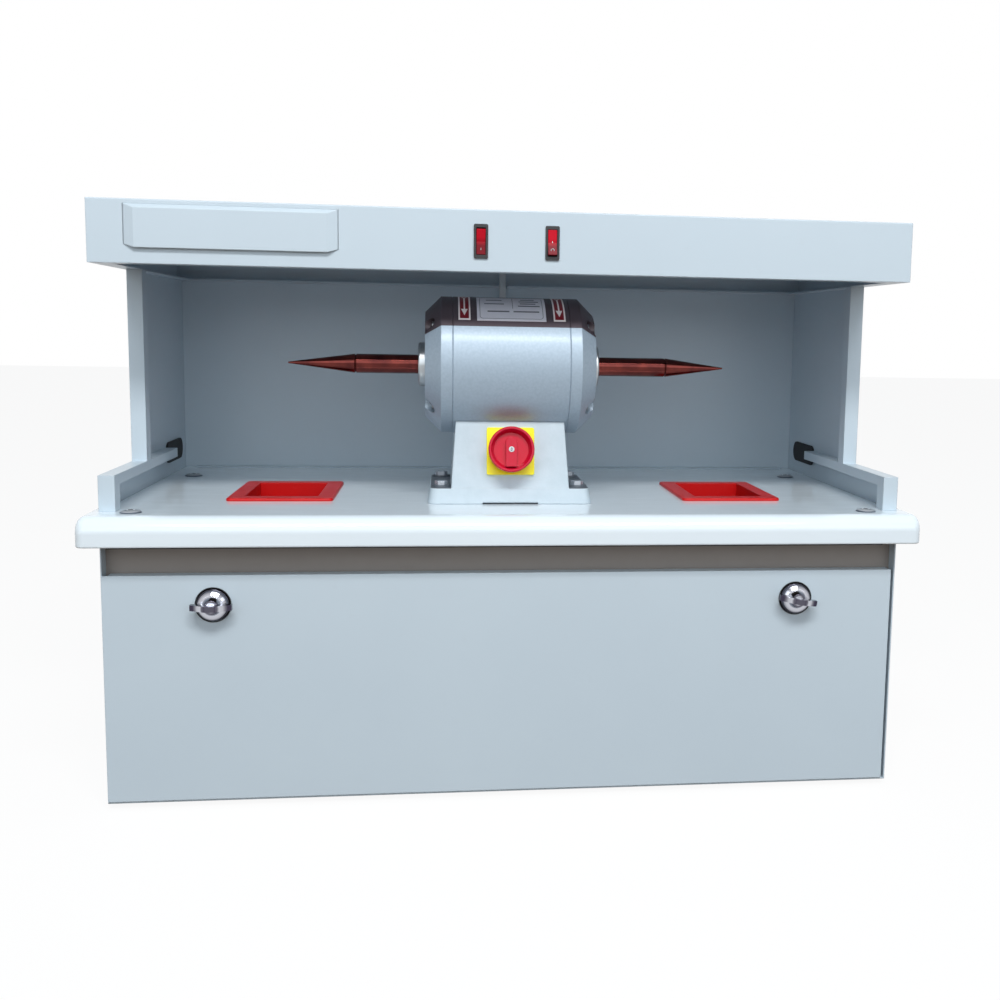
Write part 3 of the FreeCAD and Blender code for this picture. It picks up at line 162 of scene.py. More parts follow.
cabinetPaint = {"colour": (200, 214, 223), "shade": (192, 206, 216), "dust": (176, 182, 186),
                "dustShare": 0.10, "peel": 900, "peelDepth": 0.00003, "roughness": (0.30, 0.42),
                "edge": 0.0012}
worktopGloss = {"colour": (233, 243, 249), "shade": (228, 239, 246), "roughness": (0.10, 0.20), "edge": 0.002}
chuteRed = {"colour": (208, 14, 14), "shade": (180, 8, 12), "dust": (214, 150, 145), "dustShare": 0.08,
            "roughness": (0.30, 0.42), "specular": 0.3, "edge": 0.0015}
castingPaint = {"colour": (194, 207, 215), "shade": (187, 201, 209), "darkTop": (64, 72, 82),
                "speck": (186, 197, 203), "speckShare": 0.12, "grain": 420, "lumps": 70,
                "grainDepth": 0.00012, "lumpDepth": 0.0006, "roughness": (0.40, 0.55), "edge": 0.0025}
# cap and capAngle paint the hood's reflection as a dark tone over the motor's top
hammered = {"colour": (160, 176, 190), "shade": (153, 169, 183), "cap": (77, 66, 73), "capAngle": 55.2,
            "cells": 420, "depth": 0.00006, "roughness": (0.44, 0.54), "metal": 0.25, "edge": 0.0012}
copperTurned = {"bright": (118, 55, 48), "dark": (72, 31, 31), "lines": 1500, "roughness": (0.09, 0.17)}
boltZinc = {"colour": (206, 212, 220), "shade": (150, 158, 168), "roughness": (0.20, 0.34), "edge": 0.0006}
# bright, dark, rings and wingShade paint a reflection onto the latch chrome
chromed = {"bright": (202, 204, 212), "dark": (64, 60, 76), "roughness": (0.04, 0.10), "edge": 0.0006,
           "flange": 0.0157, "wingDepth": 0.0010, "wingShade": 0.9,
           "rings": ((0.0, 1.0), (0.26, 0.95), (0.34, 0.15), (0.44, 0.1), (0.56, 0.9), (0.74, 0.8),
                     (0.88, 0.25), (1.0, 0.0))}
# colour, dark and rings paint a reflection onto the cup washers: bright middles, dark rims
cupZinc = {"colour": (244, 246, 248), "dark": (58, 72, 88), "cup": 0.010, "metal": 0.2, "roughness": 0.3,
           "edge": 0.0006,
           "rings": ((0.0, 1.0), (0.34, 1.0), (0.46, 0.15), (0.62, 0.35), (0.84, 0.45), (0.95, 0.0))}
zincPlated = {"colour": (150, 152, 155), "shade": (112, 114, 118), "roughness": (0.28, 0.46), "edge": 0.0006}
knobPlastic = {"colour": (208, 8, 50), "shade": (196, 6, 44), "specular": 0.22, "roughness": (0.12, 0.20),
               "edge": 0.0010}
platePlastic = {"colour": (255, 244, 0), "shade": (250, 238, 0), "specular": 0.3, "roughness": (0.25, 0.35),
                "edge": 0.0006}
# The rail's colour is painted shade: its grey-brown stands for the worktop's shadow on the rail
railShadePaint = {"colour": (150, 142, 136), "shade": (144, 136, 130), "roughness": (0.40, 0.52), "edge": 0.0008}
blackPlastic = {"colour": (22, 22, 25), "shade": (32, 32, 35), "grain": 2200, "depth": 0.00004,
                "roughness": (0.38, 0.52), "edge": 0.0005}
blackRubber = {"colour": (24, 24, 25), "shade": (36, 36, 37), "grain": 1400, "depth": 0.00008,
               "roughness": (0.62, 0.8), "edge": 0.001}
whitePlastic = {"colour": (214, 219, 222), "shade": (204, 210, 214), "grain": 1600, "depth": 0.00003,
                "roughness": (0.34, 0.46), "edge": 0.0006}
# low and high paint shade onto the rocker: darker towards the foot
rockerPlastic = {"low": (120, 8, 26), "high": (206, 16, 40), "middle": (0, -0.156, 0.5435), "tall": 0.024,
                 "roughness": (0.42, 0.52), "specular": 0.2, "edge": 0.0006}
lampGlass = {"colour": (238, 241, 243), "shade": (228, 233, 237), "roughness": (0.22, 0.34)}
turnedMetal = {"aluminium": (196, 200, 203), "steel": (140, 142, 146), "lines": 2200}
laminated = {"colour": (92, 93, 97), "gap": (48, 48, 51), "pitch": 2000}
windings = {"bright": (196, 110, 62), "dark": (120, 56, 30), "turns": 900}


def powderCoat():
    f = Finish("powder_coat_grey")
    d = cabinetPaint
    here = f.place()
    cloud = f.noise(here, 6, 4, 0.55)
    peel = f.noise(here, d["peel"], 2, 0.5)
    dust = f.ramp(f.noise(here, 55, 6, 0.7), (0.62, 0.0), (0.80, 1.0))
    colour = f.blend(cloud, paint(*d["colour"]), paint(*d["shade"]))
    colour = f.blend(dust * d["dustShare"], colour, paint(*d["dust"]))
    low, high = d["roughness"]
    return f.surface(colour=colour, roughness=low + (high - low) * cloud, coat=0.15, coatRoughness=0.25,
                     normal=f.relief(peel, d["peelDepth"], 0.6, d["edge"]))


def glossLaminate():
    f = Finish("worktop_gloss_white")
    d = worktopGloss
    here = f.place()
    cloud = f.noise(here, 9, 4, 0.6)
    wave = f.noise(here, 30, 2, 0.5)
    smear = f.noise(f.place(scale=(1, 3.5, 1)), 22, 6, 0.7)
    colour = f.blend(cloud, paint(*d["colour"]), paint(*d["shade"]))
    low, high = d["roughness"]
    return f.surface(colour=colour, roughness=low + (high - low) * f.ramp(smear, (0.35, 0.0), (0.75, 1.0)),
                     coat=0.3, coatRoughness=0.06, normal=f.relief(wave, 0.00010, 0.35, d["edge"]))


def glossRed():
    f = Finish("chute_gloss_red")
    d = chuteRed
    here = f.place()
    cloud = f.noise(here, 24, 4, 0.6)
    dust = f.ramp(f.noise(here, 260, 6, 0.75), (0.60, 0.0), (0.74, 1.0))
    colour = f.blend(cloud, paint(*d["colour"]), paint(*d["shade"]))
    colour = f.blend(dust * d["dustShare"], colour, paint(*d["dust"]))
    low, high = d["roughness"]
    return f.surface(colour=colour, roughness=low + (high - low) * cloud, specular=d["specular"],
                     normal=f.relief(f.noise(here, 120, 2), 0.00008, 0.4, d["edge"]))


# dark tops of the feet, read as bare metal
earTops = {"level": 0.3030, "half": 0.0014, "start": 0.0598}  # dark tops of the feet, darker than the rest of the casting


def roughCasting():
    f = Finish("cast_iron_painted")
    d = castingPaint
    here = f.place()
    grain = f.noise(here, d["grain"], 4, 0.65)
    lumps = f.noise(here, d["lumps"], 3, 0.5)
    colour = f.blend(f.ramp(lumps, (0.35, 0.0), (0.7, 1.0)), paint(*d["shade"]), paint(*d["colour"]))
    specks = f.ramp(grain, (0.60, 0.0), (0.75, 1.0))
    colour = f.blend(specks * d["speckShare"], colour, paint(*d["speck"]))
    across, _, up = f.axes(f.place((motorLine.x, 0, 0)))
    ears = bandMask(f, up, earTops["level"], earTops["half"]) * (abs(across) > earTops["start"])
    colour = f.blend(ears * (0.85 + 0.15 * lumps), colour, paint(*d["darkTop"]))
    low, high = d["roughness"]
    rough = f.relief(lumps, d["lumpDepth"], 0.7, d["edge"])
    fine = f.add("Bump", inputs={"Height": grain, "Distance": d["grainDepth"], "Strength": 0.8,
                                 "Normal": rough})
    return f.surface(colour=colour, roughness=low + (high - low) * grain, normal=fine)


def hammeredSilver():
    # silver with a dark tone over the top that stands for the reflection of the hood in the photo
    f = Finish("motor_hammered_silver")
    d = hammered
    here = f.place()
    dents = f.add("TexVoronoi", {"feature": "SMOOTH_F1"},
                  {"Vector": here, "Scale": d["cells"], "Smoothness": 1.0})
    cloud = f.noise(here, 14, 4, 0.6)
    colour = f.blend(f.ramp(dents, (0.15, 0.0), (0.7, 1.0)), paint(*d["colour"]), paint(*d["shade"]))
    _, arc = onMotor(f)
    cap = abs(arc) < motorRadius * math.radians(d["capAngle"])
    colour = f.blend(cap, colour, paint(*d["cap"]))
    low, high = d["roughness"]
    return f.surface(colour=colour, roughness=low + (high - low) * cloud, metal=d["metal"], coat=0.2,
                     coatRoughness=0.18, normal=f.relief(dents, d["depth"], 0.6, d["edge"]))


def turnedCopper():
    f = Finish("spindle_copper")
    d = copperTurned
    here = f.place(tuple(motorLine))
    rings = f.noise(f.place(scale=(1, 0.02, 0.02)), d["lines"], 2, 0.6)
    cloud = f.noise(here, 60, 5, 0.65)
    colour = f.blend(f.ramp(cloud, (0.30, 0.0), (0.72, 1.0)), paint(*d["dark"]), paint(*d["bright"]))
    low, high = d["roughness"]
    return f.surface(colour=colour, metal=0.9, roughness=low + (high - low) * cloud,
                     normal=f.relief(rings, 0.00002, 0.35, 0.0005))


def zinc():
    f = Finish("zinc_steel")
    d = zincPlated
    here = f.place()
    cloud = f.noise(here, 70, 5, 0.65)
    colour = f.blend(cloud, paint(*d["colour"]), paint(*d["shade"]))
    low, high = d["roughness"]
    return f.surface(colour=colour, metal=0.9, roughness=low + (high - low) * cloud,
                     normal=f.roundEdges(d["edge"]))


def turnedChrome():
    # chrome whose dark and bright rings and dark wing face stand for the reflections in the photo
    f = Finish("chrome_turned")
    d = chromed
    far = {"operation": "LENGTH"}
    left, right = (f.add("VectorMath", far, {0: f.place((x, 0, latchLevel), (1, 0, 1))}, output="Value")
                   for x in latchPlaces.values())
    reach = f.add("Math", {"operation": "MINIMUM"}, {0: left, 1: right}) / d["flange"]
    wingFace = f.axes(f.place())[1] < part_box("latch_knob_left")[0].y + d["wingDepth"]
    rings = f.ramp(reach, *d["rings"]) * (1 - d["wingShade"] * wingFace)
    cloud = f.noise(f.place(), 90, 4, 0.6)
    low, high = d["roughness"]
    return f.surface(colour=f.blend(rings, paint(*d["dark"]), paint(*d["bright"])), metal=1.0,
                     roughness=low + (high - low) * cloud, normal=f.roundEdges(d["edge"]))


def cupWashers():
    # zinc whose bright middle and dark rings stand for the reflections in the photo
    f = Finish("zinc_cup_washers")
    d = cupZinc
    (x0, y0, _), (x1, y1, _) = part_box("worktop_screws")
    across, along, _ = f.axes(f.place(((x0 + x1) / 2, (y0 + y1) / 2, 0)))
    aside = abs(across) - ((x1 - x0) / 2 - d["cup"])
    ahead = abs(along) - ((y1 - y0) / 2 - d["cup"])
    reach = f.add("Math", {"operation": "SQRT"}, {0: aside * aside + ahead * ahead}) / d["cup"]
    colour = f.blend(f.ramp(reach, *d["rings"]), paint(*d["dark"]), paint(*d["colour"]))
    return f.surface(colour=colour, metal=d["metal"], roughness=d["roughness"], coat=0.1,
                     normal=f.roundEdges(d["edge"]))


def plainPlastic(name, d, coat=0.0, metal=0.0):
    f = Finish(name)
    here = f.place()
    cloud = f.noise(here, 45, 4, 0.6)
    colour = f.blend(cloud, paint(*d["colour"]), paint(*d["shade"]))
    low, high = d["roughness"]
    grain = f.noise(here, d.get("grain", 700), 2, 0.5)
    return f.surface(colour=colour, roughness=low + (high - low) * cloud, coat=coat, coatRoughness=0.15,
                     metal=metal, specular=d.get("specular", 0.5),
                     normal=f.relief(grain, d.get("depth", 0.00002), 0.5, d["edge"]))


def switchRed():
    # painted shade, darker towards the foot
    f = Finish("rocker_red")
    d = rockerPlastic
    _, _, up = f.axes(f.place(d["middle"]))
    height = f.ramp(up / d["tall"] + 0.5, (0.34, 0.0), (0.66, 1.0))
    cloud = f.noise(f.place(), 300, 3, 0.5)
    low, high = d["roughness"]
    return f.surface(colour=f.blend(height, paint(*d["low"]), paint(*d["high"])), specular=d["specular"],
                     roughness=low + (high - low) * cloud, normal=f.roundEdges(d["edge"]))


def frostedGlass():
    f = Finish("lamp_frosted_glass")
    d = lampGlass
    cloud = f.noise(f.place(), 35, 3, 0.5)
    low, high = d["roughness"]
    return f.surface(colour=f.blend(cloud, paint(*d["colour"]), paint(*d["shade"])),
                     roughness=low + (high - low) * cloud, coat=0.4, coatRoughness=0.08)


def turned(name, colour, roughLow, roughHigh):
    f = Finish(name)
    rings = f.noise(f.place(tuple(motorLine), (1, 0.03, 0.03)), turnedMetal["lines"], 2, 0.6)
    cloud = f.noise(f.place(), 50, 4, 0.6)
    shade = tuple(int(level * 0.86) for level in colour)
    return f.surface(colour=f.blend(cloud, paint(*colour), paint(*shade)), metal=0.95,
                     roughness=roughLow + (roughHigh - roughLow) * cloud,
                     normal=f.relief(rings, 0.00003, 0.5, 0.0005))


def laminations():
    f = Finish("core_laminations")
    split = f.axes(f.place())
    wave = f.add("Math", {"operation": "SINE"}, {0: split[0] * (laminated["pitch"] * math.tau / 2)})
    seam = f.ramp(wave * 0.5 + 0.5, (0.05, 1.0), (0.25, 0.0))
    colour = f.blend(seam, paint(*laminated["colour"]), paint(*laminated["gap"]))
    return f.surface(colour=colour, metal=0.8, roughness=0.4 + 0.2 * f.noise(f.place(), 80),
                     normal=f.relief(seam, 0.0001, 0.5))


def copperWire():
    f = Finish("copper_windings")
    wires = f.add("TexWave", {"wave_type": "RINGS", "rings_direction": "X"},
                  {"Vector": f.place(tuple(motorLine)), "Scale": windings["turns"] / 20, "Distortion": 1.5,
                   "Detail": 2.0})
    colour = f.blend(wires, paint(*windings["dark"]), paint(*windings["bright"]))
    return f.surface(colour=colour, metal=0.7, roughness=0.25 + 0.15 * f.noise(f.place(), 120),
                     normal=f.relief(wires, 0.0003, 0.8))


def onMotor(f):
    # distance along the axis and round the housing, counted from straight above
    split = f.axes(f.place(tuple(motorLine)))
    angle = f.add("Math", {"operation": "ARCTAN2"}, {0: 0 - split[1], 1: split[2]})
    return split[0], angle * motorRadius


def bandMask(f, value, centre, half, soft=0.00008):
    inside = (half - abs(value - centre)) / soft
    return f.add("Clamp", inputs={0: inside})


plateMarks = {"tilt": 30.5, "halfLength": 0.0345, "halfHeight": 0.0234, "frame": 0.0030, "line": 0.0003,
              "corner": 0.003, "barHalf": 0.0011, "metal": (226, 224, 232), "shade": (212, 210, 220),
              "ink": (34, 34, 52), "inkShare": 0.85, "divider": (0.0015, -0.0075, 0.0125),
              "rows": ((-0.0130, -0.017, 0.008), (-0.0040, -0.017, 0.010), (-0.0150, 0.017, 0.007),
                       (-0.0100, 0.018, 0.010), (-0.0050, 0.017, 0.008), (0.0000, 0.018, 0.011),
                       (0.0100, -0.013, 0.011), (0.0100, 0.015, 0.013))}


def plateFace():
    # an aluminium plate with a printed frame, a divider and plain bars
    f = Finish("data_plate_printed")
    d = plateMarks
    along, arc = onMotor(f)
    down = arc - math.radians(d["tilt"]) * motorRadius
    inX = d["halfLength"] - d["frame"]
    inY = d["halfHeight"] - d["frame"]
    boxX = abs(along) - (inX - d["corner"])
    boxY = abs(down) - (inY - d["corner"])
    outX = f.add("Math", {"operation": "MAXIMUM"}, {0: boxX, 1: 0.0})
    outY = f.add("Math", {"operation": "MAXIMUM"}, {0: boxY, 1: 0.0})
    reach = f.add("Math", {"operation": "SQRT"}, {0: outX * outX + outY * outY})
    ink = bandMask(f, reach, d["corner"], d["line"])
    aside, level, half = d["divider"]
    divider = bandMask(f, along, aside, d["line"]) * bandMask(f, down, level, half)
    ink = f.add("Math", {"operation": "MAXIMUM"}, {0: ink, 1: divider})
    for level, middle, half in d["rows"]:
        bar = bandMask(f, down, level, d["barHalf"]) * bandMask(f, along, middle, half)
        ink = f.add("Math", {"operation": "MAXIMUM"}, {0: ink, 1: bar})
    cloud = f.noise(f.place(), 90, 4, 0.6)
    grain = f.noise(f.place(scale=(0.05, 1, 1)), 3000, 2, 0.5)
    metal = f.blend(cloud, paint(*d["metal"]), paint(*d["shade"]))
    return f.surface(colour=f.blend(ink * d["inkShare"], metal, paint(*d["ink"])), metal=0.15 - 0.15 * ink,
                     roughness=0.34 + 0.12 * cloud, normal=f.relief(grain, 0.00002, 0.4))


arrowMarks = {"tilt": 28.2, "left": -0.0470, "right": 0.0480, "width": 0.012, "height": 0.050,
              "border": 0.0015, "thick": 0.00025, "lift": 0.00012, "clear": 0.004,
              "shaft": (0.0008, -0.002, 0.0145), "head": (0.0195, 0.34, 0.0145, 0.0050),
              "fork": (-0.0165, 0.5, 0.0006, -0.0185, 0.0025),
              "pale": (236, 226, 226), "red": (120, 12, 26)}


def arrowFace():
    # red field in a pale border with one arrow that shows which way the motor turns
    f = Finish("turning_arrow_label")
    d = arrowMarks
    along, arc = onMotor(f)
    middle = (d["left"] + d["right"]) / 2
    spread = (d["right"] - d["left"]) / 2
    across = abs(abs(along - middle) - spread)
    down = arc - math.radians(d["tilt"]) * motorRadius
    fieldWidth = bandMask(f, across, 0, d["width"] / 2 - d["border"])
    field = fieldWidth * bandMask(f, down, 0, d["height"] / 2 - d["border"])
    wide, level, half = d["shaft"]
    shaft = bandMask(f, across, 0, wide) * bandMask(f, down, level, half)
    tip, slope, level, half = d["head"]
    headWidth = (tip - down) * slope
    head = ((headWidth - across) > 0) * bandMask(f, down, level, half)
    start, slope, wide, level, half = d["fork"]
    forkLine = abs(across - (start - down) * slope)
    fork = (forkLine < wide) * bandMask(f, down, level, half)
    arrow = f.add("Clamp", inputs={0: shaft + head + fork})
    colour = f.blend(field, paint(*d["pale"]), paint(*d["red"]))
    colour = f.blend(arrow * field, colour, paint(*d["pale"]))
    cloud = f.noise(f.place(), 200, 3, 0.5)
    return f.surface(colour=colour, roughness=0.32 + 0.12 * cloud,
                     normal=f.relief(f.noise(f.place(), 700), 0.00003, 0.4))


finishes = {}


def finishFor(role):
    builders = {
        "cabinetPaint": powderCoat,
        "worktop": glossLaminate, "chute": glossRed, "casting": roughCasting,
        "motor": hammeredSilver, "spindle": turnedCopper, "zinc": zinc,
        "bolts": lambda: plainPlastic("bolt_zinc", boltZinc, 0.1, 0.5),
        "knob": lambda: plainPlastic("knob_gloss_red", knobPlastic, 0.08),
        "plate": lambda: plainPlastic("switch_plate_yellow", platePlastic, 0.2),
        "cups": cupWashers, "turnedChrome": turnedChrome,
        "black": lambda: plainPlastic("black_plastic", blackPlastic),
        "rubber": lambda: plainPlastic("black_rubber", blackRubber),
        "rail": lambda: plainPlastic("rail_painted_shade", railShadePaint, 0.1),
        "white": lambda: plainPlastic("white_plastic", whitePlastic, 0.1),
        "rocker": switchRed, "lamp": frostedGlass,
        "aluminium": lambda: turned("aluminium_turned", turnedMetal["aluminium"], 0.26, 0.38),
        "steel": lambda: turned("steel_turned", turnedMetal["steel"], 0.2, 0.34),
        "core": laminations, "windings": copperWire, "dataPlate": plateFace, "arrowLabel": arrowFace}
    if role not in finishes:
        finishes[role] = builders[role]()
    return finishes[role]


dressing = {
    "cabinetPaint": ["base_pan", "cabinet_side_left", "cabinet_side_right", "cabinet_back",
                     "side_panel_left", "side_panel_right", "back_panel", "hood_shell", "hood_scoop",
                     "drawer_front"],
    "rail": ["front_rail"],
    "worktop": ["worktop"],
    "chute": ["chute_left", "chute_right"],
    "casting": ["pedestal"],
    "motor": ["motor_body", "end_bell_left", "end_bell_right"],
    "spindle": ["spindle_left", "spindle_right"],
    "cups": ["worktop_screws"],
    "turnedChrome": ["latch_housing_left", "latch_housing_right", "latch_knob_left", "latch_knob_right"],
    "bolts": ["pedestal_bolts"],
    "zinc": ["pedestal_nuts", "bell_screws", "drawer_box", "runner_outer_left", "runner_outer_right",
             "runner_inner_left", "runner_inner_right", "latch_cam_left", "latch_cam_right"],
    "knob": ["isolator_knob"],
    "plate": ["isolator_plate"],
    "black": ["switch_housing_left", "switch_housing_right", "isolator_block", "cable_gland"],
    "rubber": ["rubber_feet", "side_grommets"],
    "white": ["lamp_holders", "cable_trunking"],
    "rocker": ["rocker_left", "rocker_right"],
    "lamp": ["lamp_tube_left", "lamp_tube_right"],
    "aluminium": ["bearing_cap_left", "bearing_cap_right", "capacitor"],
    "steel": ["isolator_shaft", "bearing_left", "bearing_right", "motor_shaft"],
    "core": ["stator_core", "rotor_core"],
    "windings": ["stator_windings"],
    "dataPlate": ["data_plate"],
}


def cover(piece, material):
    if not piece.material_slots:
        piece.data.materials.append(material)
    for holder in piece.material_slots:
        holder.material = material


for role, members in dressing.items():
    for name in members:
        cover(nodes[name], finishFor(role))
print("finishes on", sum(len(members) for members in dressing.values()), "nodes")


# Small pieces that the frame lacks

def startPiece():
    if bpy.context.object and bpy.context.object.mode == "EDIT":
        bpy.ops.object.mode_set(mode="OBJECT")
    bpy.ops.object.select_all(action="DESELECT")


def settle(name, role, body):
    piece = bpy.context.object
    bpy.ops.object.transform_apply(location=True, rotation=True, scale=True)
    piece.name = name
    piece.data.name = name
    cover(piece, finishFor(role))
    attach(piece, body)


def useModifier(piece, kind, **settings):
    modifier = piece.modifiers.new(kind.lower(), kind)
    for name, value in settings.items():
        setattr(modifier, name, value)
    bpy.ops.object.modifier_apply(modifier=modifier.name)


def arrowLabel(side, middle):
    # a thin sheet laid on the housing by projection, then given its thickness
    d = arrowMarks
    startPiece()
    tilt = math.radians(d["tilt"])
    outward = Vector((0, -math.sin(tilt), math.cos(tilt)))
    spot = motorLine + Vector((middle, 0, 0)) + outward * (motorRadius + d["clear"])
    bpy.ops.mesh.primitive_grid_add(x_subdivisions=6, y_subdivisions=28, size=1, location=spot,
                                    rotation=(tilt, 0, 0))
    label = bpy.context.object
    label.scale = (d["width"], d["height"], 1)
    bpy.ops.object.transform_apply(location=False, rotation=False, scale=True)
    useModifier(label, "SHRINKWRAP", target=nodes["motor_body"], wrap_method="PROJECT", use_project_z=True,
                use_negative_direction=True, use_positive_direction=False, offset=d["lift"])
    useModifier(label, "SOLIDIFY", thickness=d["thick"], offset=1.0)
    settle("arrow_label_" + side, "arrowLabel", "cabinet")


arrowLabel("left", arrowMarks["left"])
arrowLabel("right", arrowMarks["right"])
print("arrow labels laid on the motor")


knobDisc = {"centre": (-0.002, -0.109274, 0.3387), "lean": 11.889, "lift": 0.0205, "radius": 0.0028,
            "thick": 0.0005, "edge": 0.00012, "zeroRadius": 0.00095, "zeroWire": 0.00028,
            "zeroShape": (0.75, 1.3, 0.6)}


def knobMark():
    # a small disc with a plain nought in the middle of the grip
    d = knobDisc
    lean = math.radians(d["lean"])
    outward = Vector((0, -math.cos(lean), math.sin(lean)))
    turnUp = (math.pi / 2 - lean, 0, 0)
    base = Vector(d["centre"])
    startPiece()
    bpy.ops.mesh.primitive_cylinder_add(vertices=48, radius=d["radius"], depth=d["thick"],
                                        location=base + outward * (d["lift"] + d["thick"] / 2),
                                        rotation=turnUp)
    disc = bpy.context.object
    useModifier(disc, "BEVEL", width=d["edge"], segments=2, limit_method="ANGLE")
    settle("knob_disc", "white", "isolator")
    startPiece()
    bpy.ops.mesh.primitive_torus_add(major_radius=d["zeroRadius"], minor_radius=d["zeroWire"],
                                     major_segments=32, minor_segments=8, rotation=turnUp,
                                     location=base + outward * (d["lift"] + d["thick"]))
    bpy.context.object.scale = d["zeroShape"]
    settle("knob_zero", "black", "isolator")


knobMark()
print("knob mark made")


rockerMarks = {"pivot": (-0.156, 0.5435), "spread": 0.034, "aside": 0.0008, "swing": 8, "faceMiddle": 0.0024,
               "faceEnd": 0.0048, "halfHeight": 0.0118, "proud": 0.00008, "barWidth": 0.0007,
               "barThick": 0.0003, "barHeight": 0.0030, "barEdge": 0.00012, "ringRadius": 0.00145,
               "ringWire": 0.00032, "ringFlat": 0.6, "onLeft": -0.0072, "onRight": 0.0010,
               "offRight": -0.0076}


def rockerSpot(side, level):
    # point and lean of the rocker's face at a height above or below its middle
    d = rockerMarks
    swing = math.radians(d["swing"] if side < 0 else -d["swing"])
    slope = (d["faceEnd"] - d["faceMiddle"]) / d["halfHeight"]
    y = -(d["faceMiddle"] + slope * abs(level)) - d["proud"]
    lean = math.atan(slope) * (-1 if level > 0 else 1) + swing
    spot = Vector((side * d["spread"] - d["aside"],
                   d["pivot"][0] + y * math.cos(swing) - level * math.sin(swing),
                   d["pivot"][1] + y * math.sin(swing) + level * math.cos(swing)))
    return spot, lean


def rockerBar(name, side, level, body):
    d = rockerMarks
    spot, lean = rockerSpot(side, level)
    startPiece()
    bpy.ops.mesh.primitive_cube_add(size=1, location=spot, rotation=(lean, 0, 0))
    bar = bpy.context.object
    bar.scale = (d["barWidth"], d["barThick"], d["barHeight"])
    bpy.ops.object.transform_apply(location=False, rotation=False, scale=True)
    useModifier(bar, "BEVEL", width=d["barEdge"], segments=2)
    settle(name, "white", body)


def rockerRing(name, side, level, body):
    d = rockerMarks
    spot, lean = rockerSpot(side, level)
    startPiece()
    bpy.ops.mesh.primitive_torus_add(major_radius=d["ringRadius"], minor_radius=d["ringWire"],
                                     major_segments=32, minor_segments=8, location=spot,
                                     rotation=(math.pi / 2 + lean, 0, 0))
    bpy.context.object.scale = (1, 1, d["ringFlat"])
    settle(name, "white", body)


rockerBar("on_mark_left", -1, rockerMarks["onLeft"], "rocker_left")
rockerBar("on_mark_right", 1, rockerMarks["onRight"], "rocker_right")
rockerRing("off_mark_right", 1, rockerMarks["offRight"], "rocker_right")
print("switch marks made")


# black crosses of painted shade that stand for the screws' cross recesses
crossRecess = {"spots": ((-0.3575, -0.168), (0.353, -0.168), (-0.3575, 0.106), (0.353, 0.106)),
               "level": 0.286 + 0.0024, "arm": 0.0046, "blade": 0.0009, "deep": 0.0004, "edge": 0.0001,
               "turn": 0.4}


def screwCross(number, spot, turn):
    # a small block drawn out into four arms
    d = crossRecess
    startPiece()
    bpy.ops.mesh.primitive_cube_add(size=1, location=(spot[0], spot[1], d["level"]))
    cross = bpy.context.object
    cross.scale = (d["blade"], d["blade"], d["deep"])
    bpy.ops.object.transform_apply(location=False, rotation=False, scale=True)
    reach = (d["arm"] - d["blade"]) / 2
    for way in (Vector((1, 0, 0)), Vector((-1, 0, 0)), Vector((0, 1, 0)), Vector((0, -1, 0))):
        bpy.ops.object.mode_set(mode="EDIT")
        bpy.ops.mesh.select_all(action="DESELECT")
        bpy.ops.object.mode_set(mode="OBJECT")
        for face in cross.data.polygons:
            face.select = face.normal.dot(way) > 0.9 and face.center.dot(way) > d["blade"] / 4
        bpy.ops.object.mode_set(mode="EDIT")
        bpy.ops.mesh.extrude_region_move(TRANSFORM_OT_translate={"value": way * reach})
        bpy.ops.object.mode_set(mode="OBJECT")
    cross.rotation_euler = (0, 0, turn)
    useModifier(cross, "BEVEL", width=d["edge"], segments=1)
    settle("screw_cross_" + str(number), "black", "cabinet")


for number, spot in enumerate(crossRecess["spots"], start=1):
    screwCross(number, spot, crossRecess["turn"] * number)
print("screw recesses made")


latchSeal = {"depth": -0.174, "inner": 0.01605, "outer": 0.0168, "proud": 0.0016}


def latchGasket(side):
    # a thin black ring round the latch's flange
    d = latchSeal
    startPiece()
    bpy.ops.mesh.primitive_circle_add(vertices=96, radius=d["outer"], fill_type="NOTHING",
                                      location=(latchPlaces[side], d["depth"] - d["proud"] / 2, latchLevel),
                                      rotation=(math.pi / 2, 0, 0))
    ring = bpy.context.object
    bpy.ops.object.mode_set(mode="EDIT")
    bpy.ops.mesh.select_all(action="SELECT")
    bpy.ops.mesh.extrude_edges_move()
    share = d["inner"] / d["outer"]
    bpy.ops.transform.resize(value=(share, share, share))
    bpy.ops.object.mode_set(mode="OBJECT")
    useModifier(ring, "SOLIDIFY", thickness=d["proud"], offset=0)
    useModifier(ring, "BEVEL", width=d["proud"] / 4, segments=2, limit_method="ANGLE")
    settle("latch_gasket_" + side, "rubber", "drawer")


darkRailStrip = {"left": -0.3830, "right": 0.3760, "front": -0.1604, "back": -0.15885, "low": 0.2498,
            "high": 0.2562, "edge": 0.0004}


def sealStrip():
    # thin black strip along the top of the front rail, a guess at the dark line under the worktop
    d = darkRailStrip
    startPiece()
    middle = ((d["left"] + d["right"]) / 2, (d["front"] + d["back"]) / 2, (d["low"] + d["high"]) / 2)
    bpy.ops.mesh.primitive_cube_add(size=1, location=middle)
    strip = bpy.context.object
    strip.scale = (d["right"] - d["left"], d["back"] - d["front"], d["high"] - d["low"])
    bpy.ops.object.transform_apply(location=False, rotation=False, scale=True)
    useModifier(strip, "BEVEL", width=d["edge"], segments=2)
    settle("rail_dark_strip", "rubber", "cabinet")


sealStrip()
for side in latchPlaces:
    latchGasket(side)
print("rail seal and latch gaskets made")


# Floor, light and camera

floorSize = {"half": 12.0, "whiteShare": 0.92, "colour": (128, 112, 98), "roughness": 0.9}


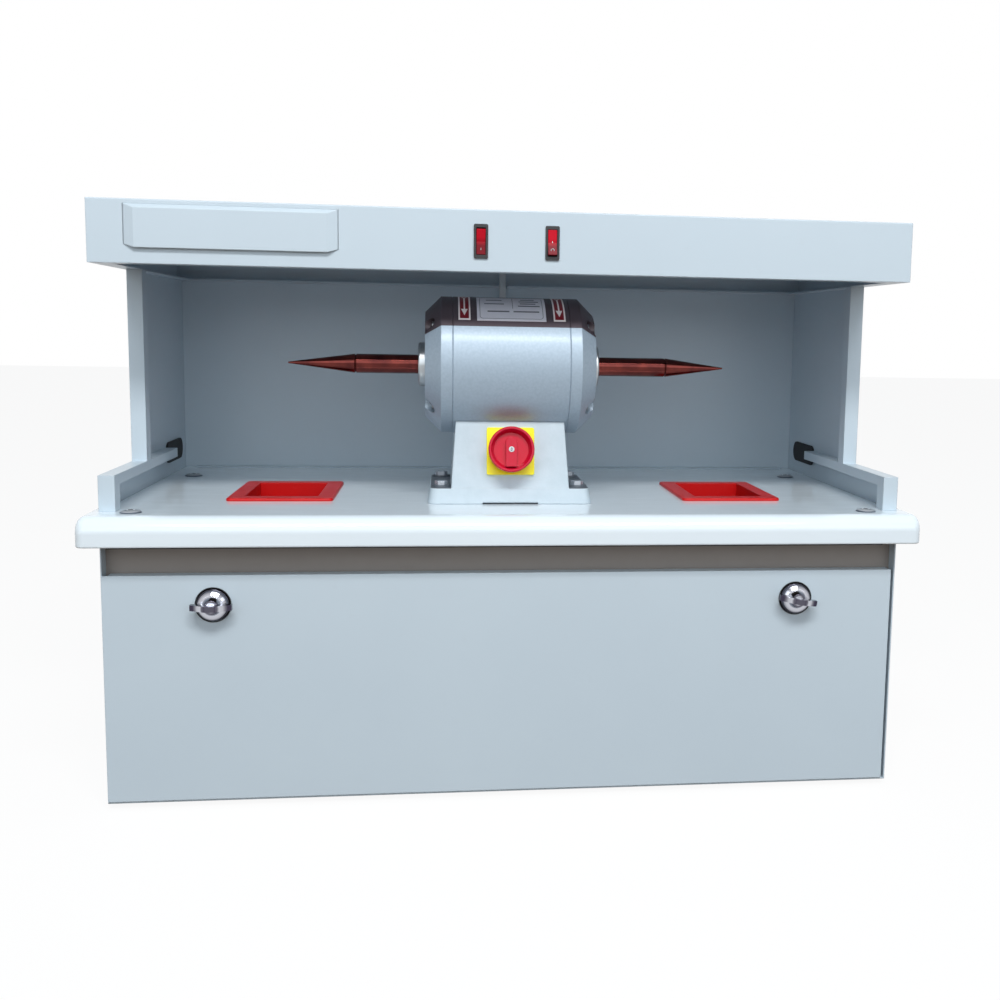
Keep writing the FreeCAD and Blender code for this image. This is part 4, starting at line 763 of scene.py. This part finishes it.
def floorFinish():
    # camera, glossy and transmission rays see a white floor that keeps a faint shadow
    f = Finish("floor_pale")
    d = floorSize
    share = f.add("LightPath", output="Is Camera Ray")
    for ray in ("Is Glossy Ray", "Is Transmission Ray"):
        share = f.add("Math", {"operation": "MAXIMUM"}, {0: share, 1: f.add("LightPath", output=ray)})
    glow = f.add("Emission", inputs={"Color": (1, 1, 1, 1), "Strength": 1.0})
    plain = f.surface(colour=f.blend(share, paint(*d["colour"]), (1, 1, 1, 1)), roughness=d["roughness"],
                      specular=0.0)
    lit = Amount(f, f.shader.outputs[0])
    mixed = f.add("MixShader", inputs={0: share * d["whiteShare"], 1: lit, 2: glow})
    f.join(f.tree.nodes["Material Output"].inputs["Surface"], mixed)
    return plain


startPiece()
bpy.ops.mesh.primitive_plane_add(size=2 * floorSize["half"], location=(0, 0, 0))
floor = bpy.context.object
floor.name = "floor"
cover(floor, floorFinish())


studio = {"keyPlace": (0.10, -2.20, 2.79), "keyAim": (0.10, -0.1, 0.4), "keySize": (2.2, 0.5), "keyPower": 80,
          "wallPlace": (0, -3.2, 1.62), "wallAim": (0, 0, 1.62), "wallSize": (7.0, 1.75), "wallPower": 60,
          "keyColour": (1, 1, 1), "wallColour": (0.87, 0.94, 1),
          "sky": 0.27, "skyColour": (0.78, 0.90, 1, 1)}


def lamp(kind):
    light = bpy.data.lights.new(kind + "_light", "AREA")
    light.shape = "RECTANGLE"
    light.size, light.size_y = studio[kind + "Size"]
    light.energy = studio[kind + "Power"]
    light.color = studio[kind + "Colour"]
    holder = bpy.data.objects.new(kind + "_light", light)
    bpy.context.scene.collection.objects.link(holder)
    place = Vector(studio[kind + "Place"])
    holder.location = place
    holder.rotation_euler = (Vector(studio[kind + "Aim"]) - place).to_track_quat("-Z", "Y").to_euler()


lamp("key")
lamp("wall")


def skyLight(strength, colour):
    world = bpy.data.worlds.new("studio_sky")
    bpy.context.scene.world = world
    world.use_nodes = True
    tree = world.node_tree
    path = tree.nodes.new("ShaderNodeLightPath")
    seen = path.outputs["Is Camera Ray"]
    for ray in ("Is Glossy Ray", "Is Transmission Ray"):
        either = tree.nodes.new("ShaderNodeMath")
        either.operation = "MAXIMUM"
        tree.links.new(seen, either.inputs[0])
        tree.links.new(path.outputs[ray], either.inputs[1])
        seen = either.outputs[0]
    level = tree.nodes.new("ShaderNodeMath")
    level.operation = "MAXIMUM"
    tree.links.new(seen, level.inputs[0])
    level.inputs[1].default_value = strength
    background = tree.nodes["Background"].inputs
    tint = tree.nodes.new("ShaderNodeMix")
    tint.data_type = "RGBA"
    tint.inputs[6].default_value = colour
    tint.inputs[7].default_value = (1, 1, 1, 1)
    tree.links.new(seen, tint.inputs[0])
    tree.links.new(tint.outputs[2], background["Color"])
    tree.links.new(level.outputs[0], background["Strength"])


skyLight(studio["sky"], studio["skyColour"])

photoView = {"place": (-0.07171, -1.25945, 0.45836), "yaw": 7.366, "pitch": 6.891, "roll": 1.043,
             "lens": 41.036, "sensor": 36, "shift": (-0.0873, -0.0284)}


def photoCamera():
    d = photoView
    yaw, pitch, roll = (math.radians(d[name]) for name in ("yaw", "pitch", "roll"))
    forward = Vector((math.sin(yaw) * math.cos(pitch), math.cos(yaw) * math.cos(pitch), -math.sin(pitch)))
    level = Vector((math.cos(yaw), -math.sin(yaw), 0))
    upright = level.cross(forward)
    right = math.cos(roll) * level + math.sin(roll) * upright
    up = -math.sin(roll) * level + math.cos(roll) * upright
    data = bpy.data.cameras.new("photo_camera")
    data.lens = d["lens"]
    data.sensor_width = d["sensor"]
    data.shift_x, data.shift_y = d["shift"]
    camera = bpy.data.objects.new("photo_camera", data)
    bpy.context.scene.collection.objects.link(camera)
    turn = Matrix((right, up, -forward)).transposed().to_4x4()
    camera.matrix_world = Matrix.Translation(d["place"]) @ turn
    bpy.context.scene.camera = camera


photoCamera()
bpy.context.scene.view_settings.view_transform = "Standard"
print("light and camera set")
